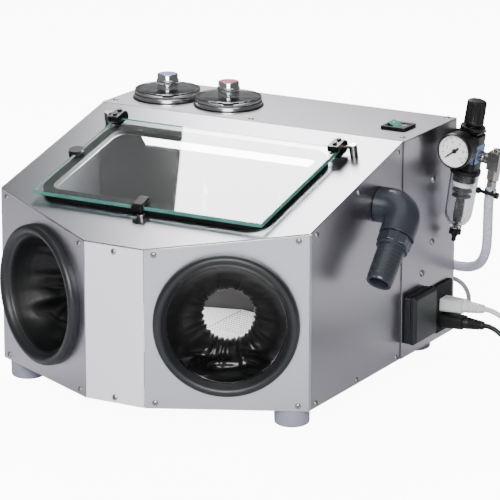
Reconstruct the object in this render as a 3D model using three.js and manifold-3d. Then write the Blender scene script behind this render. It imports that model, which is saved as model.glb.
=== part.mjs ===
// Benchtop fine-blasting cabinet: sheet-steel casing with a faceted front, two arm ports, a hinged glass
// viewing window, two abrasive tanks, an exhaust elbow, mains sockets and an air filter-regulator.
// Millimetres, +Z up. X runs to the operator's right, Y runs back from the side panels' front edge, and
// Z = 0 is the bench. At the end the group is moved so that the origin is the bottom centre of its box.
import * as THREE from 'three';
import { mergeVertices } from 'three/addons/utils/BufferGeometryUtils.js';
import Module from 'manifold-3d';

const wasm = await Module();
wasm.setup();

// ---- driving dimensions ----
const gap = 0.3;               // clearance between touching pieces
const sheet = 1.5;             // sheet steel
const halfWidth = 240;         // casing, front part
const noseHalfWidth = 45.5;    // narrow centre facet
const noseDepth = 96;          // centre facet stands this far in front of the side panels
const footHeight = 24;
const sideHeight = 242.2;      // side panel's front edge, above the casing's underside
const topHeight = 310;         // top plate, above the underside
const slopeDepth = 263;        // side panels' front edge to the top plate's front edge
const cabinetDepth = 426;      // side panels' front edge to the back
const rearProud = 1.8;         // rear shell stands proud of the front side panels
const seatOverlap = 9;         // front side panel tucked under the rear shell
const partitionY = 250;

const slopeAngle = Math.atan2(topHeight - sideHeight, slopeDepth);
const underside = footHeight;
const topZ = underside + topHeight;
const facetLength = Math.hypot(halfWidth - noseHalfWidth, noseDepth);
const facetAngle = Math.atan2(noseDepth, halfWidth - noseHalfWidth);
const slopeZ = (y) => underside + sideHeight + y * Math.tan(slopeAngle);

// viewing window, in slope coordinates: x right, y up the slope, z out of the panel
const opening = { halfWidth: 160, front: 1, rear: 184, corner: 17 };
const gasketWidth = 15;
const glass = { halfWidth: 177.5, front: -15.5, rear: 209.5, bottom: 7, thickness: 6 };
const hinge = { x: 194.5, y: 214, z: 12.5, postRadius: 5.5, postHeight: 17.5, pinRadius: 2.5 };

const port = { z: underside + 117, ringOuter: 96.5, ringInner: 81, hole: 79, stand: 14 };
const cuff = { right: 34, left: 20, depth: 50 };

const tankX = { blue: -175.5, red: -74.5 };
const tankY = 335;
const tank = { flange: 48, vessel: 42, depth: 96, rod: 4 };
const rocker = { x: 198.5, y: 330, frame: 18.5, halfLength: 13, halfWidth: 10.5, tilt: 0.19 };

const elbow = { y: 196, z: underside + 236.7, reach: 41.5, bend: 26, outer: 24.5, bore: 20.5, tail: 45 };
const elbowDown = new THREE.Vector3(0, -0.695, -0.719).normalize();
const socket = { y: 303, z: underside + 54.5, half: 34, depth: 9.6, lid: 8.5 };
const inlet = { y: 387, halfWidth: 25, bottom: underside + 11, top: underside + 81 };
const plugZ = { white: underside + 50, black: underside + 26 };

const regulator = { x: 272, y: 391.5, z: underside + 238.5, lean: THREE.MathUtils.degToRad(9) };

const lead = { diameter: 7.5, coilRadius: 45, coilWide: 15, coilHigh: 22.5 };
const whiteCoil = { x: 385, y: 478 };
const blackCoil = { x: 440, y: 332 };

// ---- helpers ----
const vec = (x, y, z) => new THREE.Vector3(x, y, z);

function moved(geometry, x, y, z) {
  return geometry.translate(x, y, z);
}

function solidOf(geometry) {
  const bare = geometry.clone();
  for (const name of Object.keys(bare.attributes)) if (name !== 'position') bare.deleteAttribute(name);
  const whole = mergeVertices(bare, 1e-4);
  const triVerts = new Uint32Array(whole.index.array);
  return new wasm.Manifold(new wasm.Mesh({ numProp: 3, vertProperties: whole.attributes.position.array, triVerts }));
}

function geometryOf(solid) {
  const mesh = solid.getMesh();
  const geometry = new THREE.BufferGeometry();
  geometry.setAttribute('position', new THREE.BufferAttribute(new Float32Array(mesh.vertProperties), 3));
  geometry.setIndex(new THREE.BufferAttribute(new Uint32Array(mesh.triVerts), 1));
  geometry.computeVertexNormals();
  return geometry;
}

const joined = (...parts) => geometryOf(parts.map(solidOf).reduce((a, b) => a.add(b)));
const cut = (body, ...tools) => geometryOf(tools.map(solidOf).reduce((a, b) => a.subtract(b), solidOf(body)));

function box(x0, x1, y0, y1, z0, z1) {
  return moved(new THREE.BoxGeometry(x1 - x0, y1 - y0, z1 - z0), (x0 + x1) / 2, (y0 + y1) / 2, (z0 + z1) / 2);
}

// an outline given as [x, y] pairs, extruded along +Z
function plate(points, thickness, holes = [], curveSegments = 8) {
  const shape = points instanceof THREE.Shape ? points : new THREE.Shape(points.map(([x, y]) => new THREE.Vector2(x, y)));
  shape.holes.push(...holes);
  return new THREE.ExtrudeGeometry(shape, { depth: thickness, bevelEnabled: false, curveSegments });
}

function roundedRectangle(x0, x1, y0, y1, r, target = new THREE.Shape()) {
  target.moveTo(x0 + r, y0);
  target.lineTo(x1 - r, y0);
  target.absarc(x1 - r, y0 + r, r, -Math.PI / 2, 0, false);
  target.lineTo(x1, y1 - r);
  target.absarc(x1 - r, y1 - r, r, 0, Math.PI / 2, false);
  target.lineTo(x0 + r, y1);
  target.absarc(x0 + r, y1 - r, r, Math.PI / 2, Math.PI, false);
  target.lineTo(x0, y0 + r);
  target.absarc(x0 + r, y0 + r, r, Math.PI, Math.PI * 1.5, false);
  return target;
}

function circlePath(x, y, r) {
  return new THREE.Path().absarc(x, y, r, 0, Math.PI * 2, true);
}

// an outline in the YZ plane, extruded along +X from x0 to x1
function extrudedAlongX(points, x0, x1) {
  return moved(plate(points, x1 - x0).rotateX(Math.PI / 2).rotateZ(Math.PI / 2), x0, 0, 0);
}

// a profile of [radius, height] pairs turned about Z; it starts and ends on the axis or closes on itself,
// and is taken round anticlockwise so that the faces point outwards
function turned(profile, segments = 32) {
  const points = profile.map(([r, h]) => new THREE.Vector2(r, h));
  if (THREE.ShapeUtils.area(points) < 0) points.reverse();
  return new THREE.LatheGeometry(points, segments).rotateX(Math.PI / 2);
}

const ring = (profile, segments) => turned([...profile, profile[0]], segments);

const rod = (radius, z0, z1, segments = 20) => turned([[0, z0], [radius, z0], [radius, z1], [0, z1]], segments);

function tube(curve, outer, inner, steps, sides) {
  const shape = new THREE.Shape().absarc(0, 0, outer, 0, Math.PI * 2, false);
  if (inner > 0) shape.holes.push(circlePath(0, 0, inner));
  return new THREE.ExtrudeGeometry(shape, { steps, curveSegments: sides / 2, bevelEnabled: false, extrudePath: curve });
}

const cabinet = new THREE.Group();

function part(name, geometry, finish, parent = cabinet) {
  const mesh = new THREE.Mesh(geometry, new THREE.MeshStandardMaterial(finish));
  mesh.name = name;
  parent.add(mesh);
  return mesh;
}

function frame(position, rotation = [0, 0, 0]) {
  const group = new THREE.Group();
  group.position.set(...position);
  group.rotation.set(...rotation);
  cabinet.add(group);
  return group;
}

const steel = { color: '#b4b4ba', roughness: 0.38, metalness: 1 };
const whitePanel = { color: '#e2e0e8', roughness: 0.4, metalness: 0.2 };
const blackPlastic = { color: '#15181a', roughness: 0.45, metalness: 0 };
const rubber = { color: '#33383d', roughness: 0.5, metalness: 0 };
const sleeveRubber = { color: '#0b0d0f', roughness: 0.3, metalness: 0 };
const chrome = { color: '#d5d6da', roughness: 0.12, metalness: 1 };
const clear = { color: '#dfe9e8', roughness: 0.05, metalness: 0, transparent: true, opacity: 0.3 };
const pipe = { color: '#4a5057', roughness: 0.4, metalness: 0 };
const footPlastic = { color: '#9a9ca8', roughness: 0.5, metalness: 0 };

// ---- casing ----
function basePan() {
  const inset = 2.4;
  const nose = noseHalfWidth - 0.6;
  const outline = [
    [-halfWidth + inset, 1], [-nose, -noseDepth + inset], [nose, -noseDepth + inset], [halfWidth - inset, 1],
    [halfWidth - inset, cabinetDepth - inset], [-halfWidth + inset, cabinetDepth - inset],
  ];
  part('base_pan', moved(plate(outline, sheet), 0, 0, underside), steel);
}

function feet() {
  const places = { front_left: [-208, 12], front_right: [208, 12], rear_left: [-196, 394], rear_right: [196, 394] };
  for (const [name, [x, y]] of Object.entries(places)) {
    const profile = [[0, 0], [21, 0], [23.5, 2.5], [24, footHeight - gap], [0, footHeight - gap]];
    part(`foot_${name}`, turned(profile, 28), footPlastic).position.set(x, y, 0);
  }
}

function sidePanels() {
  const below = (sheet + 0.4) / Math.cos(slopeAngle);
  const front = 6;
  const back = slopeDepth + seatOverlap;
  const top = topZ - sheet - 0.4;
  const outline = [
    [front, underside], [back, underside], [back, top], [slopeDepth, top], [slopeDepth, slopeZ(slopeDepth) - below],
    [front, slopeZ(front) - below],
  ];
  part('right_side_panel', extrudedAlongX(outline, halfWidth - sheet, halfWidth), steel);
  part('left_side_panel', extrudedAlongX(outline, -halfWidth, -halfWidth + sheet), steel);
}

// the right side panel's duct hole under the exhaust elbow
function ductHole() {
  const panel = cabinet.getObjectByName('right_side_panel');
  const drill = rod(19, -5, 5, 32).rotateY(Math.PI / 2);
  panel.geometry = cut(panel.geometry, moved(drill, halfWidth, elbow.y, elbow.z));
}

function frontPanels() {
  const below = (sheet + 0.4) / Math.cos(slopeAngle);
  const trim = 0.6;
  const noseTop = slopeZ(-noseDepth) - below;
  const sideTop = slopeZ(0) - below;
  const nose = plate([[-noseHalfWidth + trim, 0], [noseHalfWidth - trim, 0], [noseHalfWidth - trim, noseTop - underside],
    [-noseHalfWidth + trim, noseTop - underside]], sheet);
  part('centre_front_panel', moved(nose.rotateX(Math.PI / 2), 0, -noseDepth + sheet, underside), whitePanel);

  const half = facetLength / 2;
  const flange = 5;
  for (const side of [1, -1]) {
    const height = (x) => noseTop + (sideTop - noseTop) * ((x * side + half) / facetLength) - underside;
    const ends = [-half * side + trim * side, half * side - trim * side];
    const outline = [[ends[0], 0], [ends[1], 0], [ends[1], height(ends[1])], [ends[0], height(ends[0])]];
    if (side < 0) outline.reverse();
    const hole = circlePath(0, port.z - underside, port.hole);
    const face = plate(outline, sheet, [hole], 20).rotateX(Math.PI / 2).translate(0, sheet, 0);
    const name = side > 0 ? 'right_port_panel' : 'left_port_panel';
    const panel = part(name, face, steel);
    panel.position.set(side * (halfWidth + noseHalfWidth) / 2, -noseDepth / 2, underside);
    panel.rotation.z = side * facetAngle;
    panel.updateMatrix();
    const edge = side > 0 ? halfWidth - sheet : -halfWidth;
    const lip = box(edge, edge + sheet, 0.1, flange + 0.5, underside, sideTop - 0.1);
    panel.geometry = joined(panel.geometry, lip.applyMatrix4(panel.matrix.clone().invert()));
  }
}

function rearShell() {
  const outer = halfWidth + rearProud;
  const inner = outer - sheet;
  const back = cabinetDepth - sheet;
  const outline = [[-outer, slopeDepth], [-inner, slopeDepth], [-inner, back], [inner, back], [inner, slopeDepth],
    [outer, slopeDepth], [outer, cabinetDepth], [-outer, cabinetDepth]];
  part('rear_shell', moved(plate(outline, topHeight - sheet - 0.4), 0, 0, underside), steel);
}

function topPlate() {
  const outer = halfWidth + rearProud;
  const hole = (x) => circlePath(x, tankY, tank.vessel + 0.6);
  const slot = roundedRectangle(rocker.x - 16.3, rocker.x + 16.3, rocker.y - 13.8, rocker.y + 13.8, 1, new THREE.Path());
  const outline = [[-outer, slopeDepth - 0.2], [outer, slopeDepth - 0.2], [outer, cabinetDepth], [-outer, cabinetDepth]];
  const geometry = plate(outline, sheet, [hole(tankX.blue), hole(tankX.red), slot], 16);
  part('top_plate', moved(geometry, 0, 0, topZ - sheet), steel);
}

function partition() {
  const side = halfWidth - sheet - 1;
  part('partition_wall', box(-side, side, partitionY, partitionY + sheet, underside + sheet + 0.4,
    slopeZ(partitionY) - 3), steel);
}

function floorGrate() {
  const ridge = underside + 39;
  const edge = underside + 22;
  const half = 200;
  const outline = [[-half, edge], [0, ridge], [half, edge], [half, edge + sheet], [0, ridge + sheet], [-half, edge + sheet]];
  const geometry = plate(outline, partitionY - 4 - 8).rotateX(Math.PI / 2);
  part('floor_grate', moved(geometry, 0, partitionY - 4, 0), steel);
}

function lamp() {
  const z = slopeZ(partitionY) - 26;
  const shape = roundedRectangle(-11, 11, 0, 14, 5);
  const geometry = plate(shape, 300).rotateX(Math.PI / 2).rotateZ(Math.PI / 2);
  part('lamp_tube', moved(geometry, -150, partitionY - 13, z - 7), { color: '#ffffff', roughness: 0.3, metalness: 0 });
}

// ---- window on the slope ----
const slope = frame([0, 0, underside + sideHeight], [slopeAngle, 0, 0]);

function windowPanel() {
  const front = -noseDepth / Math.cos(slopeAngle);
  const rear = (slopeDepth - 1) / Math.cos(slopeAngle);
  const outline = [[-noseHalfWidth, front], [noseHalfWidth, front], [halfWidth, 0], [halfWidth, rear],
    [-halfWidth, rear], [-halfWidth, 0]];
  const hole = roundedRectangle(-opening.halfWidth, opening.halfWidth, opening.front, opening.rear, opening.corner,
    new THREE.Path());
  part('window_panel', moved(plate(outline, sheet, [hole], 6), 0, 0, -sheet), steel, slope);
}

function gasket() {
  const w = gasketWidth;
  const outer = roundedRectangle(-opening.halfWidth - w, opening.halfWidth + w, opening.front - w, opening.rear + w,
    opening.corner + w);
  const inner = roundedRectangle(-opening.halfWidth, opening.halfWidth, opening.front, opening.rear, opening.corner,
    new THREE.Path());
  part('window_gasket', moved(plate(outer, glass.bottom - 2 * gap, [inner], 8), 0, 0, gap), rubber, slope);
}

function windowGlass() {
  const shape = roundedRectangle(-glass.halfWidth, glass.halfWidth, glass.front, glass.rear, 2);
  part('window_glass', moved(plate(shape, glass.thickness, [], 2), 0, 0, glass.bottom), clear, slope);
}

function hinges() {
  for (const side of [1, -1]) {
    const name = side > 0 ? 'right' : 'left';
    const post = moved(rod(hinge.postRadius, gap, hinge.postHeight, 20), side * hinge.x, hinge.y, 0);
    const pin = moved(rod(hinge.pinRadius, 0, 20, 14).rotateY(-side * Math.PI / 2), side * (hinge.x - 1), hinge.y, hinge.z);
    part(`hinge_post_${name}`, joined(post, pin), chrome, slope);

    const r = 9.2;
    const back = Array.from({ length: 9 }, (_, i) => {
      const angle = -Math.PI / 2 + Math.PI * i / 8;
      return [hinge.y + r * Math.cos(angle), hinge.z + r * Math.sin(angle)];
    });
    const top = glass.bottom + glass.thickness;
    const jaws = [...back, [glass.rear - 16, hinge.z + r], [glass.rear - 16, top + gap], [glass.rear + gap, top + gap],
      [glass.rear + gap, glass.bottom - gap], [glass.rear - 12, glass.bottom - gap], [glass.rear - 12, hinge.z - r]];
    const body = extrudedAlongX(jaws, Math.min(side * 166, side * 182), Math.max(side * 166, side * 182));
    const bore = moved(rod(hinge.pinRadius + 0.4, 0, 14, 14).rotateY(-side * Math.PI / 2), side * 187, hinge.y, hinge.z);
    part(`hinge_clamp_${name}`, cut(body, bore), blackPlastic, slope);
  }
}

function windowHandles() {
  const top = glass.bottom + glass.thickness + gap;
  const nose = [[3, top], [3, 19], [-18, 17], [-24, 13.5], [-24, 8.5], [-22, 7.3], [glass.front - gap, 7.3],
    [glass.front - gap, top]];
  part('front_handle', extrudedAlongX(nose, -17, 0), blackPlastic, slope);
  const pad = moved(plate(roundedRectangle(-187, -166, 90, 109, 9), 4.6, [], 5), 0, 0, top);
  const skirt = moved(plate(roundedRectangle(-187, -glass.halfWidth - gap, 92, 107, 4), 8, [], 3), 0, 0, 7.5);
  part('left_handle', joined(pad, skirt), blackPlastic, slope);
}

// ---- arm ports: ring and sleeve, turned about the facet's own normal ----
function armPorts() {
  for (const side of [1, -1]) {
    const name = side > 0 ? 'right' : 'left';
    const place = frame([side * (halfWidth + noseHalfWidth) / 2, -noseDepth / 2, port.z], [0, 0, side * facetAngle]);
    const outer = port.ringOuter;
    const inner = port.ringInner;
    const ringProfile = [[outer, gap], [outer, 7], [outer - 2.5, 11.5], [outer - 7, port.stand], [inner + 4, 12.5],
      [inner, 8.5], [inner, gap]];
    part(`port_ring_${name}`, ring(ringProfile, 40).rotateX(Math.PI / 2), rubber, place);

    const end = side > 0 ? cuff.right : cuff.left;
    const wall = 2.5;
    const mouth = port.hole - 1;
    const sleeve = [[mouth, 3], [mouth - wall, 3], [mouth - wall, -8], [end - wall, -cuff.depth], [end, -cuff.depth],
      [mouth, -9.5]];
    part(`sleeve_${name}`, ring(sleeve, 20).rotateX(Math.PI / 2), sleeveRubber, place);
  }
}

// ---- abrasive tanks ----
function tanks() {
  for (const [colour, x] of Object.entries(tankX)) {
    const place = frame([x, tankY, topZ]);
    const floor = -tank.depth;
    const vessel = [[0, floor], [tank.vessel, floor], [tank.vessel, gap], [tank.flange, gap], [tank.flange, 6.2],
      [tank.vessel - 2, 6.2], [tank.vessel - 2, floor + 2], [tank.rod, floor + 2], [tank.rod, 6.5], [0, 6.5]];
    part(`${colour}_tank`, turned(vessel, 14), { color: '#b9bac2', roughness: 0.25, metalness: 1 }, place);

    const cap = [[5, 8], [tank.vessel - 2, 8], [tank.vessel - 2, 6.8], [46, 6.8], [46, 8], [47, 8.3], [47, 13.2],
      [46.5, 13.7], [5, 13.7]];
    part(`${colour}_cap`, ring(cap, 32), clear, place);

    const knob = [[0, 7], [3.2, 7], [3.2, 14], [15.5, 14], [15.5, 23.4], [16.3, 24], [16.3, 25.6], [14.8, 26.6],
      [14.8, 33.6], [13.6, 34.8], [0, 34.8]];
    part(`${colour}_knob`, turned(knob, 20), chrome, place);
  }
}

// ---- power switch ----
function powerSwitch() {
  const place = frame([rocker.x, rocker.y, topZ]);
  const f = rocker.frame;
  const window = () => roundedRectangle(-14.4, 14.4, -11.6, 11.6, 1, new THREE.Path());
  const bezel = moved(plate(roundedRectangle(-f, f, -f, f, 2), 4.2, [window()], 2), 0, 0, gap);
  const body = moved(plate(roundedRectangle(-16, 16, -13.4, 13.4, 1), 16.5, [window()], 2), 0, 0, -16);
  part('switch_frame', joined(bezel, body), blackPlastic, place);

  const l = rocker.halfLength;
  const paddle = [[-l, 6.6], [0, 3.6], [l, 6.6], [l - 1, -2], [3, -5], [-3, -5], [-l + 1, -2]];
  const geometry = plate(paddle.reverse(), 2 * rocker.halfWidth).rotateX(Math.PI / 2).translate(0, rocker.halfWidth, 0);
  part('switch_rocker', geometry.rotateY(rocker.tilt), { color: '#3f8f7a', roughness: 0.3, metalness: 0 }, place);
}

// ---- exhaust elbow: straight, quarter bend, straight ----
class ElbowLine extends THREE.Curve {
  constructor(start, corner, end, bend) {
    super();
    this.start = start;
    this.corner = corner;
    this.end = end;
    this.inward = corner.clone().sub(start).normalize();
    this.outward = end.clone().sub(corner).normalize();
    this.lead = corner.distanceTo(start) - bend;
    this.arc = bend * Math.PI / 2;
    this.tail = corner.distanceTo(end) - bend;
    this.bend = bend;
  }

  getPoint(t) {
    const s = t * (this.lead + this.arc + this.tail);
    if (s < this.lead) return this.start.clone().addScaledVector(this.inward, s);
    if (s > this.lead + this.arc) return this.end.clone().addScaledVector(this.outward, s - this.lead - this.arc - this.tail);
    const angle = (s - this.lead) / this.bend;
    return this.corner.clone().addScaledVector(this.inward, -this.bend * (1 - Math.sin(angle)))
      .addScaledVector(this.outward, this.bend * (1 - Math.cos(angle)));
  }
}

function exhaustElbow() {
  const corner = vec(halfWidth + elbow.reach, elbow.y, elbow.z);
  const start = vec(halfWidth + 0.6, elbow.y, elbow.z);
  const end = corner.clone().addScaledVector(elbowDown, elbow.tail);
  part('exhaust_elbow', tube(new ElbowLine(start, corner, end, elbow.bend), elbow.outer, elbow.bore, 14, 20), pipe);

  // the hose nozzle is turned about +Z, then laid along the elbow's lower leg
  const bore = 13.5;
  const profile = [[bore, 0], [21, 0], [21, 15], [22, 16], [22, 18.5], [19.5, 19.5], [18, 40], [17.6, 71], [17, 72], [bore, 72]];
  const hex = moved(new THREE.CylinderGeometry(23.6, 23.6, 15, 6).rotateX(Math.PI / 2), 0, 0, 7.5);
  const nozzle = cut(joined(ring(profile, 32), hex), rod(bore, -1, 80, 32));
  const mesh = part('hose_nozzle', nozzle, pipe);
  mesh.position.copy(corner).addScaledVector(elbowDown, elbow.tail + gap);
  mesh.quaternion.setFromUnitVectors(vec(0, 0, 1), elbowDown);
}

// ---- mains: suction-unit socket with a spring lid, and the inlet plate ----
function mainsSocket() {
  const wall = halfWidth + rearProud + gap;
  const h = socket.half;
  const outline = roundedRectangle(-h, h, -h, h, 4);
  const body = plate(outline, socket.depth, [], 3).rotateY(Math.PI / 2);
  const well = rod(19.5, 2, 30, 32).rotateY(Math.PI / 2);
  const mesh = part('socket_housing', cut(body, well), blackPlastic);
  mesh.position.set(wall, socket.y, socket.z);

  const chamfer = 3.5;
  const front = wall + socket.depth + gap;
  const rim = [[-h, 0], [h, 0], [h, socket.lid - chamfer], [h - chamfer, socket.lid], [-h + chamfer, socket.lid],
    [-h, socket.lid - chamfer]];
  const across = plate(rim, 2 * h).rotateX(Math.PI / 2).translate(0, h, 0).rotateY(Math.PI / 2);
  const along = plate(rim, 2 * h).rotateX(Math.PI / 2).translate(0, h, 0).rotateZ(Math.PI / 2).rotateY(Math.PI / 2);
  const lid = geometryOf(solidOf(across).intersect(solidOf(along)));
  part('socket_lid', moved(lid, front, socket.y, socket.z), blackPlastic);
}

function inletPlate() {
  const middle = (inlet.bottom + inlet.top) / 2;
  const height = (inlet.top - inlet.bottom) / 2;
  const outline = roundedRectangle(-height, height, -inlet.halfWidth, inlet.halfWidth, 3);
  const windows = [plugZ.white, plugZ.black].map((z) => roundedRectangle(middle - z - 10.3, middle - z + 10.3, -14.4, 14.4, 3,
    new THREE.Path()));
  const geometry = plate(outline, 4, windows, 3).rotateY(Math.PI / 2);
  part('inlet_plate', moved(geometry, halfWidth + rearProud + gap, inlet.y, middle), blackPlastic);
}

function connector(name, z, colour) {
  const start = halfWidth + rearProud + gap + 0.3;
  const nose = plate(roundedRectangle(-9.8, 9.8, -13.8, 13.8, 4.5), 40, [], 3).rotateY(Math.PI / 2);
  const relief = turned([[0, 36], [8.8, 36], [8.5, 46], [6.2, 66], [0, 66]], 20).rotateY(Math.PI / 2);
  const mesh = part(`${name}_plug`, joined(nose, relief), { color: colour, roughness: 0.45, metalness: 0 });
  mesh.position.set(start, inlet.y, z);
  return vec(start + 66 + gap, inlet.y, z);
}

// ---- leads: plug, drooping stretch, coil beside the cabinet, far plug ----
function leads() {
  const routes = {
    white: (s) => [s, vec(s.x + 6, s.y, s.z), vec(326, 387.3, 71), vec(343, 388, 62.5), vec(361, 389.3, 48), vec(378, 391.6, 30),
      vec(393, 396, 15), vec(408, 404, 6.6), vec(421, 416, 4.2), vec(430, 432, 3.9), vec(433.7, 450, 3.9)],
    black: (s) => [s, vec(s.x + 6, s.y, s.z), vec(326, 387, 46.5), vec(342, 386.8, 36), vec(358, 386.3, 22), vec(372, 385.2, 11.5),
      vec(386, 383.4, 5.6), vec(399, 381.7, 4), vec(412, 380.8, 3.9)],
  };
  const colours = { white: '#cfd6d4', black: '#1a1e1c' };
  for (const name of ['white', 'black']) {
    const start = connector(name, plugZ[name], colours[name]);
    const finish = { color: colours[name], roughness: 0.5, metalness: 0 };
    const line = new THREE.CatmullRomCurve3(routes[name](start), false, 'centripetal');
    part(`${name}_cord`, tube(line, lead.diameter / 2, 0, 14, 10), finish);

    const coil = name === 'white' ? whiteCoil : blackCoil;
    const half = lead.coilWide / 2;
    const section = [[lead.coilRadius + half, 0.1], [lead.coilRadius + half, lead.coilHigh], [lead.coilRadius - half, lead.coilHigh],
      [lead.coilRadius - half, 0.1]];
    part(`${name}_coil`, ring(section, 36), finish).position.set(coil.x, coil.y, 0);

    const mesh = part(`${name}_far_plug`, farPlug(), finish);
    // the outermost turn leaves the coil along its tangent, and the strain relief starts clear of the other turns
    const turn = lead.coilRadius + lead.diameter / 2;
    const clearance = Math.sqrt((lead.coilRadius + half + 0.6) ** 2 - (turn - 5) ** 2);
    if (name === 'white') {
      mesh.position.set(coil.x - clearance, coil.y + turn, 18.8);
      mesh.rotation.y = -Math.PI / 2;
    } else {
      mesh.position.set(coil.x + turn, coil.y - clearance, 18.8);
      mesh.rotation.x = Math.PI / 2;
    }
  }
}

// a straight moulded mains plug lying on the bench, its cord entering at z = 0 of its own axis
function farPlug() {
  const body = turned([[0, 0], [5, 0], [6.5, 24], [9, 28], [16, 36], [18.5, 44], [18.5, 62], [0, 62]], 28);
  const pins = [-9.5, 9.5].map((x) => moved(rod(2.4, 61, 81, 10), 0, x, 0));
  return joined(body, ...pins);
}

// ---- filter-regulator, leaning outwards on its bracket ----
const unit = frame([regulator.x, regulator.y, regulator.z], [0, regulator.lean, 0]);
const black = { color: '#15181a', roughness: 0.4, metalness: 0 };

function regulatorBracket() {
  const neckPlate = box(-24, 22, -18, 38.5, 64, 67);
  const backLeg = box(-24, 22, 35.5, 38.5, 28, 65);
  const tail = box(-74, -23, 35.5, 38.5, 28, 50);
  part('regulator_bracket', cut(joined(neckPlate, backLeg, tail), rod(12.6, 60, 70, 28)), black, unit);
}

function regulatorBody() {
  const block = moved(plate(roundedRectangle(-17, 17, -17, 17, 8), 52, [], 4), 0, 0, 10);
  const neck = rod(12, 61, 74, 28);
  part('regulator_body', cut(joined(block, neck), rod(5.6, 58, 80, 20)), black, unit);
  part('regulator_spindle', rod(5.2, 58.4, 95, 20), { color: '#c9b27a', roughness: 0.3, metalness: 1 }, unit);
  const knob = [[0, 100], [5.5, 100], [5.5, 75], [14.6, 75], [14.6, 107.5], [12.6, 110], [0, 110]];
  part('regulator_knob', turned(knob, 28), black, unit);
}

// the gauge faces the operator: its case is turned about Z and laid along -Y
function pressureGauge() {
  const place = new THREE.Group();
  place.position.set(0, -17, 46);
  place.rotation.x = Math.PI / 2;
  unit.add(place);
  const face = 36;
  const gaugeCase = [[0, gap], [5, gap], [5, 8.5], [21, 9], [24.6, 11], [25, face - 1], [24.4, face], [22.6, face],
    [22.6, face - 5.5], [0, face - 5.5]];
  const cutForPin = rod(1.4, face - 8, face, 12);
  part('gauge_case', cut(turned(gaugeCase, 28), cutForPin), black, place);
  const blade = plate([[-1.5, -6], [1.5, -6], [0.5, 17.5], [-0.5, 17.5]], 0.8);
  const needle = joined(moved(blade, 0, 0, face - 4), rod(2.8, face - 4.4, face - 2.4, 14), rod(1, face - 7.6, face - 4, 10));
  part('gauge_needle', needle.rotateZ(THREE.MathUtils.degToRad(135)), { color: '#111111', roughness: 0.5, metalness: 0 }, place);
}

function filterBowl() {
  const bowl = [[20.5, 9.6], [20.5, 4], [19.6, -56], [17, -66], [8, -73], [8, -78.4], [3.6, -78.4], [3.6, -71], [15.3, -64],
    [17.2, -56], [18, 4], [18, 9.6]];
  part('filter_bowl', ring(bowl, 24), clear, unit);
  const cock = [[0, -70], [3, -70], [3, -79], [8.5, -79], [8.5, -87.5], [3.3, -88.5], [3.3, -98], [0, -98]];
  part('drain_cock', turned(cock, 20), black, unit);
}

function outletFitting() {
  const stub = moved(rod(8, 17 + gap, 36, 20).rotateY(Math.PI / 2), 0, 0, 33);
  const block = box(33, 51, -9, 9, 20, 46);
  const upright = moved(turned([[0, -22], [4, -22], [4, -4], [7, -4], [7, 5], [9, 5], [9, 21], [0, 21]], 20), 42, 0, 0);
  const plug = moved(rod(6, 45, 50.7, 12), 42, 0, 0);
  part('outlet_fitting', joined(stub, block, upright, plug), chrome, unit);
}

// ---- hoses held by the cabinet at both ends ----
function hoses() {
  unit.updateMatrix();
  const barb = vec(42, 0, -4.6).applyMatrix4(unit.matrix);
  const below = vec(42, 0, -24).applyMatrix4(unit.matrix);
  const route = [barb, below, vec(308.5, 392.5, 205), vec(307, 395, 180), vec(302.5, 401, 156), vec(290, 413, 135),
    vec(270, 430, 121), vec(246, 444, 113.5), vec(220, 453, 112), vec(192, 456, 111), vec(171, 450, 111), vec(161, 436, 111),
    vec(161, cabinetDepth + gap, 111)];
  const hose = { color: '#c6c6d6', roughness: 0.25, metalness: 0, transparent: true, opacity: 0.7 };
  part('air_hose', tube(new THREE.CatmullRomCurve3(route, false, 'centripetal'), 7, 4.4, 32, 10), hose);

  const loop = [vec(206, cabinetDepth + gap, 92), vec(206, 433, 92), vec(215, 446, 92), vec(229.6, 451, 91.5), vec(241, 453, 86),
    vec(249, 454, 76), vec(252.5, 454, 64), vec(249, 453, 50), vec(238, 450, 42), vec(220, 445, 40), vec(209, 434, 40),
    vec(209, cabinetDepth + gap, 40)];
  part('pilot_tube', tube(new THREE.CatmullRomCurve3(loop, false, 'centripetal'), 3.2, 0, 28, 8),
    { color: '#8f8f97', roughness: 0.4, metalness: 0 });
}

basePan();
feet();
sidePanels();
ductHole();
frontPanels();
rearShell();
topPlate();
partition();
floorGrate();
lamp();
windowPanel();
gasket();
windowGlass();
hinges();
windowHandles();
armPorts();
tanks();
powerSwitch();
exhaustElbow();
mainsSocket();
inletPlate();
leads();
regulatorBracket();
regulatorBody();
pressureGauge();
filterBowl();
outletFitting();
hoses();

// origin: bottom centre of the box round everything but the free leads
const onLead = /^(white|black)_/;
const bounds = new THREE.Box3();
cabinet.updateMatrixWorld(true);
cabinet.traverse((mesh) => {
  if (mesh.isMesh && !onLead.test(mesh.name)) bounds.expandByObject(mesh, true);
});
cabinet.position.set(-(bounds.min.x + bounds.max.x) / 2, -(bounds.min.y + bounds.max.y) / 2, -bounds.min.z);

export default cabinet;
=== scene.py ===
# Benchtop fine-blasting cabinet: stainless casing with a faceted front, two sleeved arm ports, a hinged
# glass window, two abrasive tanks, an exhaust elbow, a filter-regulator and two mains leads.
import math
import random
import bpy
import bmesh
from mathutils import Matrix, Vector, noise

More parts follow.
